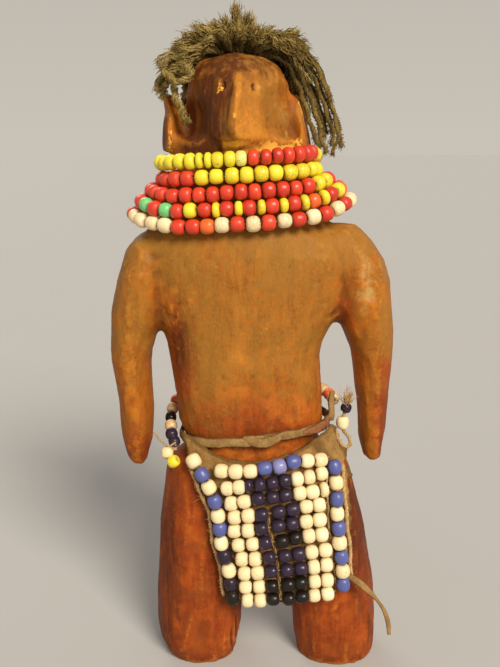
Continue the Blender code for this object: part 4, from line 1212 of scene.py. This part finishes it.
def add_tassel(shell, root, direction, count, length, look=0):
    """A spray of loose fibres."""
    for _ in range(count):
        lean = unit(direction + rng.normal(0, 0.28, 3))
        reach = length * rng.uniform(0.6, 1.1)
        route = [root + rng.normal(0, 0.2, 3)]
        for _ in range(4):
            lean = unit(lean + rng.normal(0, 0.16, 3))
            route.append(route[-1] + lean * reach / 4)
        add_tube(shell, np.array(route), np.linspace(0.21, 0.07, 5), 4, look, rng.uniform(-0.3, 0.3))


def make_tie(fibre, glass):
    shell = Shell()
    route = smooth_curve(TIE_ROUTE, 90)
    add_plied(shell, route, 0.7, 2.6, fuzz=1.2)
    add_tassel(shell, np.array((30.0, -5.2, 101.4)), np.array((0.1, -0.1, 1.0)), 34, 8.4)
    add_plied(shell, smooth_curve(TIE_KNOT, 24), 0.6, 2.2)
    arcs = arc_of(route)
    for share, mark_look, size, length in ((0.36, 1, TIE_BEAD, 5.2), (0.18, 2, 4.2, 3.6)):
        middle = share * arcs[-1]
        centre = point_at(route, arcs, middle)
        axis = point_at(route, arcs, middle + 2) - point_at(route, arcs, middle - 2)
        add_bead(shell, centre, axis, size, length, mark_look)
    return shell.build("hip_tie", [fibre, glass["white"], glass["navy"]], "grey_leather", ["hip_tie_cord"])


def make_drop_beads(surface, fibre, glass):
    shell = Shell()
    route = clear_path(smooth_curve(DROP_ROUTE, 40), surface, 2.0)
    arcs = arc_of(route)
    add_plied(shell, route, 0.4, 1.6, fuzz=0.8)
    for share, look, size in ((0.52, 1, 4.9), (0.93, 2, 4.9)):
        middle = share * arcs[-1]
        axis = point_at(route, arcs, middle + 1.5) - point_at(route, arcs, middle - 1.5)
        if share > 0.9:
            axis = np.array((0.8, -0.3, 0.5))
        add_bead(shell, point_at(route, arcs, middle), axis, size, 4.4, look)
    loop = clear_path(smooth_curve(DROP_LOOP, 40), surface, 0.8)
    add_plied(shell, loop, 0.42, 1.6, fuzz=0.5)
    materials = [fibre, glass["white"], glass["yellow"]]
    return shell.build("hip_loose_beads", materials, "white_glass", ["hip_drop_beads"])


def make_tail(leather):
    shell = Shell()
    route = smooth_curve(TAIL_ROUTE, 60)
    widths = 2.3 * (1 - 0.5 * np.linspace(0, 1, 60) ** 1.5) * (1 + 0.3 * np.sin(np.linspace(0, 9, 60)))
    outward = (0.0, -1.0, 0.0) + np.outer(np.sin(np.linspace(0, 3.4, 60)), (0.5, 0, 0.3))
    add_strip(shell, route, outward, widths, 0.8, 0, 89)
    return shell.build("apron_tail", [leather], "grey_leather", ["apron_tail_strip"])


# Hair

# Tufts over the crown: x, y and z of the tip, and how far the middle arches up
TUFTS = [(-11, 1, 243.6, 0.0), (-7, 3, 240.5, 0.0), (-14, -1, 238.5, 1.0), (-10, -3, 234.5, 0.5),
         (-20, 2, 239.5, 1.0), (-17, -3, 234.0, 1.5), (-24, 0, 236.0, 1.5), (-22, -4, 229.8, 2.0),
         (-28, 1, 233.0, 2.0), (-27, -3, 227.2, 2.5), (-33, 1, 228.8, 2.5), (-32, -2, 223.6, 3.0),
         (-37, 2, 224.4, 3.5), (-37, 0, 221.2, 3.0), (-30, -2, 221.6, 3.0), (-34, -1, 221.0, 3.0),
         (-3, 2, 237.4, 0.0), (-4, -3, 233.4, 1.0), (2, 3, 236.0, 1.0), (6, 0, 233.5, 1.5),
         (11, 3, 235.2, 1.5), (9, -2, 230.6, 2.0), (14, 2, 230.6, 2.5), (15, 3, 225.0, 3.0),
         (12, 0, 226.0, 3.0), (16, 6, 220.5, 3.5), (-30, 6, 226.0, 3.0), (8, 8, 232.0, 2.0)]
TUFT_COPIES = 2
LONG_LOCKS = [
    [(3, 7, 230), (11, 5, 230.4), (17.0, 4, 224.0), (21.0, 4, 216.0), (23.6, 3, 207.6),
     (25.2, 3, 200.0), (23.4, 3, 193.4)],
    [(2, 5, 229), (9, 3, 228.4), (14.6, 2, 222.0), (18.2, 2, 215.0), (21.0, 2, 207.6), (23.4, 2, 200.6),
     (23.0, 2, 196.6)],
    [(2, 3, 228), (7, 1, 226.6), (11.6, 0, 219.8), (14.8, 0, 213.0), (17.4, 0, 206.4), (19.0, 0, 200.0),
     (20.8, 0, 194.0)],
    [(1, 3, 227), (6, 0, 224.6), (10.0, -1, 218.0), (12.6, -1, 212.0), (14.6, -1, 206.0),
     (16.4, -1, 200.4), (18.8, 0, 196.0)],
    [(4, 8, 230), (13, 7, 229.6), (19.0, 6, 222.0), (21.6, 6, 215.0), (23.6, 6, 209.0),
     (26.0, 5, 202.0), (26.6, 5, 196.0)],
    [(4, 9, 228), (13, 9, 227.0), (18.6, 9, 218.0), (21.8, 8, 209.0), (23.8, 8, 201.0)],
    [(3, 11, 227), (11, 12, 225), (16.6, 12, 217), (20.0, 11, 208), (22.0, 10, 201)],
    [(2, 6, 228), (8, 5, 227), (13.0, 4, 220.6), (16.4, 4, 213.4), (19.4, 4, 206.0), (20.6, 4, 199.4)],
    [(3, 5, 229), (10, 3, 229.6), (15.6, 2, 225.4), (19.6, 2, 218.4), (22.0, 2, 211.6)],
]
LEFT_LOCKS = [
    [(-20, 4, 222), (-27, 0, 221.5), (-31.6, -3, 217.5), (-31.4, -5.2, 212.5), (-29.0, -6.4, 208.0),
     (-27.8, -6.8, 203.8)],
    [(-28, 0, 226), (-33.6, -4, 225.0), (-35.0, -6.6, 221.6), (-32.4, -8.0, 218.4),
     (-28.8, -8.6, 217.6), (-26.2, -9.0, 219.8), (-26.8, -8.8, 222.4), (-29.0, -8.0, 223.0)],
    [(-22, 6, 222), (-31, 3, 223), (-36.0, 1, 220), (-37.4, -1, 217), (-38.4, -2, 214.8)],
    [(-22, 6, 222), (-30, 3, 221), (-34.6, 0, 218), (-36.0, -2, 214.6), (-36.4, -2, 212.4)],
]
BACK_LOCKS = 30
CROWN_LOCKS = 12
# Middles of the rings that the roots, bends and tips of those locks lie on
BACK_ROOT = np.array((-8.0, 7.0, 228.0))
BACK_KNEE = np.array((-8.0, 8.0, 227.0))
CROWN_ROOT = np.array((-9.0, 7.0, 228.5))
CROWN_TIP = np.array((-9.0, 8.0, 232.5))
YARN_PLIES = 3
TIP_FIBRES = 22


def yarn_route(points, surface, radius, wave, wave_length, count):
    """A wavy run of yarn through the points, clear of the surface."""
    route = smooth_curve(points, count)
    _, side, cross = frames(route)
    arcs = arc_of(route)
    swing = np.sin(TURN * arcs / (wave_length * rng.uniform(0.8, 1.2)) + rng.uniform(0, 6.3))
    tilt = rng.uniform(0, 6.3)
    direction = side * math.cos(tilt) + cross * math.sin(tilt)
    route = route + direction * (wave * swing * ramp(arcs, 1, 5))[:, None]
    return clear_path(route, surface, radius * 0.8)


def add_yarn(shell, route, radius, flare=0.5, hairs=15, twist=5.0, root=1.0, taper=0.5):
    """Loose plied yarn: a core of plies, and the fibres that lie on them and splay at the tip, with painted
    shade towards the root.
    """
    tone = rng.uniform(-1, 1)
    arcs = arc_of(route)
    share = arcs / arcs[-1]
    # Painted shade towards the root, carried as the grime value
    shade = root * (1 - ramp(share, 0.15, 0.85))
    _, side, cross = frames(route)
    swell = radius * (0.78 + 0.34 * ramp(share, 0.0, 0.8) + 0.06 * rng.standard_normal(len(route)))
    turn = radius * twist
    for ply in range(YARN_PLIES):
        angle = TURN * (arcs / turn + ply / YARN_PLIES)
        offset = turned(side, cross, angle)
        radii = 0.50 * swell * (1 - taper * ramp(share, 0.55, 0.98))
        path = route + offset * (0.42 * swell)[:, None]
        add_tube(shell, path, radii, 5, 0, tone - 0.5, np.repeat(shade, 5))
    for number in range(hairs):
        ply = number % YARN_PLIES
        first = int((rng.uniform(0, 0.25) if number > 5 else 0.0) * len(route))
        span = slice(first, len(route))
        angle = TURN * (arcs / turn + ply / YARN_PLIES)
        spin = TURN * (arcs / (turn * 1.4) + rng.uniform(0, 1))
        middle = turned(side, cross, angle)
        skin = turned(side, cross, angle + spin)
        crimp = 0.07 * np.sin(arcs * TURN / rng.uniform(1.6, 2.6) + rng.uniform(0, 6.3))
        splay = 1 + flare * ramp(share, 0.72, 1.0) * rng.uniform(0.2, 1.6)
        path = route + middle * (0.45 * swell * splay)[:, None]
        path += skin * ((0.52 + crimp) * swell * splay)[:, None]
        thick = rng.uniform(0.12, 0.19) * (1 - 0.6 * ramp(share, 0.8, 1.0))
        add_tube(shell, path[span], thick[span], 3, 0, tone, np.repeat(shade[span], 3))
    add_fuzz(shell, route, radius, int(arcs[-1] * 0.7), 0, tone, 1.5, 0.04)
    tip = unit(route[-1] - route[-4])
    for _ in range(TIP_FIBRES):
        lean = unit(tip + rng.normal(0, 0.20, 3))
        start = route[-1] - tip * 1.5 + rng.normal(0, radius * 0.45, 3)
        reach = rng.uniform(1.2, 2.5)
        path = np.array([start, start + lean * reach * 0.5, start + (lean + rng.normal(0, 0.16, 3)) * reach])
        add_tube(shell, path, [0.14, 0.12, 0.05], 3, 0, tone)


def make_hair(surface, wool, shaded_wool):
    front, under, ends, curls, back = Shell(), Shell(), Shell(), Shell(), Shell()
    for copy in range(TUFT_COPIES):
        for x, y, z, arch in TUFTS:
            tip = np.array((x, y, z)) + rng.normal(0, 1.0, 3) * (1.0, 1.2, 0.8) - (0, 1.5 * copy, 1.2 * copy)
            lean = np.clip((x + 9) / 30, -1, 1)
            root = np.array((-9 + 9 * lean, 4.5 + 2.5 * copy, 227.0 - 3.5 * lean ** 2))
            root += rng.normal(0, 0.8, 3)
            middle = (root + tip) / 2 + np.array((0, rng.normal(0, 0.6), arch + 1.2))
            size = rng.uniform(1.5, 1.95)
            route = yarn_route([root, middle, tip], surface, size, 0.35, 7.0, 26)
            add_yarn(under if copy else front, route, size, 0.5, 21, 16.0, 1.0, 0.85)
    # Locks with set routes: yarn radius, wave and steps, then fibres, twist and share of painted shade at the
    # root
    drawn = [(ends, LONG_LOCKS, (0.85, 1.05), (0.35, 9.0, 56), (13, 4.4, 0.85)),
             (curls, LEFT_LOCKS, (1.15, 1.35), (0.3, 5.0, 40), (17, 6.0, 0.5))]
    for shell, locks, radii, wave, fibres in drawn:
        for points in locks:
            size = rng.uniform(*radii)
            add_yarn(shell, yarn_route(points, surface, size, *wave), size, 0.4, *fibres)
    for number in range(BACK_LOCKS):
        angle = math.pi * (number + 0.5) / BACK_LOCKS
        spread = level_direction(angle)
        drop = rng.uniform(204, 213) - 3 * math.sin(angle)
        root = BACK_ROOT + spread * (5, 3, 0) + rng.normal(0, 1.0, 3) * (1, 1, 0.4)
        knee = BACK_KNEE + spread * (17, 11, 0) + rng.normal(0, 1.0, 3)
        tip = np.array((-8.0, 8.0, drop)) + spread * (21, 14, 0) + rng.normal(0, 1.0, 3)
        size = rng.uniform(1.5, 1.8)
        add_yarn(back, yarn_route([root, knee, tip], surface, size, 0.6, 5.0, 30), size, 0.4, 12, 5.0, 0.8)
    for number in range(CROWN_LOCKS):
        angle = TURN * number / CROWN_LOCKS
        spread = level_direction(angle)
        root = CROWN_ROOT + spread * (3, 2, 0)
        tip = CROWN_TIP + spread * (10, 7, 0) + rng.normal(0, 1.0, 3)
        size = rng.uniform(1.4, 1.7)
        middle = (root + tip) / 2 + (0, 0, 3.0)
        add_yarn(back, yarn_route([root, middle, tip], surface, size, 0.6, 5.0, 24), size, 0.6, 12)
    front.build("yarn_tufts", [wool], "olive_wool", ["hair_crest"])
    under.build("yarn_under_tufts", [wool], "olive_wool")
    ends.build("yarn_long_ends", [shaded_wool], "olive_wool")
    curls.build("yarn_curls", [wool], "olive_wool")
    back.build("yarn_back", [wool], "olive_wool")


# Stage, lights and camera


def make_stage():
    bpy.ops.mesh.primitive_plane_add(size=60.0, location=(0, 0, 0))
    floor = bpy.context.object
    floor.name = "floor"
    look = Look("pale_floor")
    colour = look.mix(look.noise(60.0, 2.0), (0.444, 0.438, 0.430), (0.456, 0.450, 0.442))
    floor.data.materials.append(look.finish(colour, 0.8, None, 0.1, 0.1))
    world = bpy.data.worlds.new("studio")
    world.use_nodes = True
    nodes, links = world.node_tree.nodes, world.node_tree.links
    kinds = ("TexCoord", "SeparateXYZ", "MapRange", "Mix")
    place, parts, ramps, shade = [nodes.new("ShaderNode" + kind) for kind in kinds]
    shade.data_type = "RGBA"
    ramps.inputs["From Max"].default_value = 0.8
    shade.inputs[6].default_value = (*HORIZON, 1.0)
    shade.inputs[7].default_value = (*ZENITH, 1.0)
    links.new(place.outputs["Generated"], parts.inputs[0])
    links.new(parts.outputs["Z"], ramps.inputs["Value"])
    links.new(ramps.outputs[0], shade.inputs[0])
    links.new(shade.outputs[2], nodes["Background"].inputs["Color"])
    bpy.context.scene.world = world


def add_sun(name, azimuth, elevation, strength, softness, colour):
    """A far soft lamp; azimuth runs from the front towards the viewer's right."""
    data = bpy.data.lights.new(name, "SUN")
    data.energy = strength
    data.angle = math.radians(softness)
    data.color = colour
    lamp = bpy.data.objects.new(name, data)
    across, up = math.radians(azimuth), math.radians(elevation)
    place = Vector((math.sin(across) * math.cos(up), -math.cos(across) * math.cos(up), math.sin(up)))
    lamp.rotation_euler = place.to_track_quat("Z", "Y").to_euler()
    lamp.location = place
    bpy.context.scene.collection.objects.link(lamp)


def make_lights():
    add_sun("key", 26.0, 36.0, 3.9, 24.0, (1.0, 0.91, 0.78))
    add_sun("rim", 205.0, 35.0, 0.6, 30.0, (1.0, 0.95, 0.88))


def make_camera():
    data = bpy.data.cameras.new("camera")
    data.sensor_width = 36.0
    data.lens = FOCAL_PX * data.sensor_width / FRAME_HEIGHT_PX
    data.clip_start = 0.01
    camera = bpy.data.objects.new("camera", data)
    camera.location = ((np.array(CAMERA_PLACE) + SHIFT) * MM).tolist()
    camera.rotation_euler = (math.radians(90 - CAMERA_DOWN_DEG), 0.0, 0.0)
    bpy.context.scene.collection.objects.link(camera)
    bpy.context.scene.camera = camera
    bpy.context.scene.view_settings.view_transform = "Standard"


def main():
    make_camera()
    make_lights()
    make_stage()
    glass = {name: glass_look(name) for name in GLASS_COLOURS}
    thread = fibre_look("sinew_thread", (0.40, 0.26, 0.12), (0.24, 0.14, 0.06), 3.0, 0.1)
    fibre = fibre_look("twisted_fibre", (0.58, 0.38, 0.17), (0.36, 0.21, 0.08), 3.0, 0.1)
    wool = fibre_look("olive_yarn", (0.50, 0.36, 0.115), (0.090, 0.058, 0.017), 3.0)
    # A darker copy of the olive yarn: painted shade on the long locks
    shaded_wool = fibre_look("olive_yarn_shaded", (0.30, 0.205, 0.062), (0.070, 0.045, 0.013), 4.0)
    hide = hide_look("scraped_hide", (0.42, 0.245, 0.075), (0.27, 0.145, 0.042), (0.11, 0.052, 0.016))
    leather = hide_look("grey_leather", (0.38, 0.225, 0.080), (0.23, 0.130, 0.045), (0.09, 0.045, 0.018))
    wrap = hide_look("red_leather", (0.36, 0.150, 0.060), (0.25, 0.095, 0.036), (0.10, 0.035, 0.014))

    wood_node = NODES["carved_figure"]
    surface = surface_of(wood_node)
    sheet = surface_of(NODES["apron_hide"])
    wood = carve_figure(wood_node, wood_look())
    make_necklace(surface, glass, thread)
    apron = make_hide(surface, hide)
    make_apron_beads(surface, sheet, glass, thread)
    cords = make_edge_cords(surface, sheet, fibre)
    make_thong(surface, leather, wrap)
    make_hip_string(surface, glass, thread)
    make_tie(fibre, glass)
    make_drop_beads(surface, fibre, glass)
    tail = make_tail(leather)
    make_hair(surface_of(wood), wool, shaded_wool)


main()
bpy.context.view_layer.update()
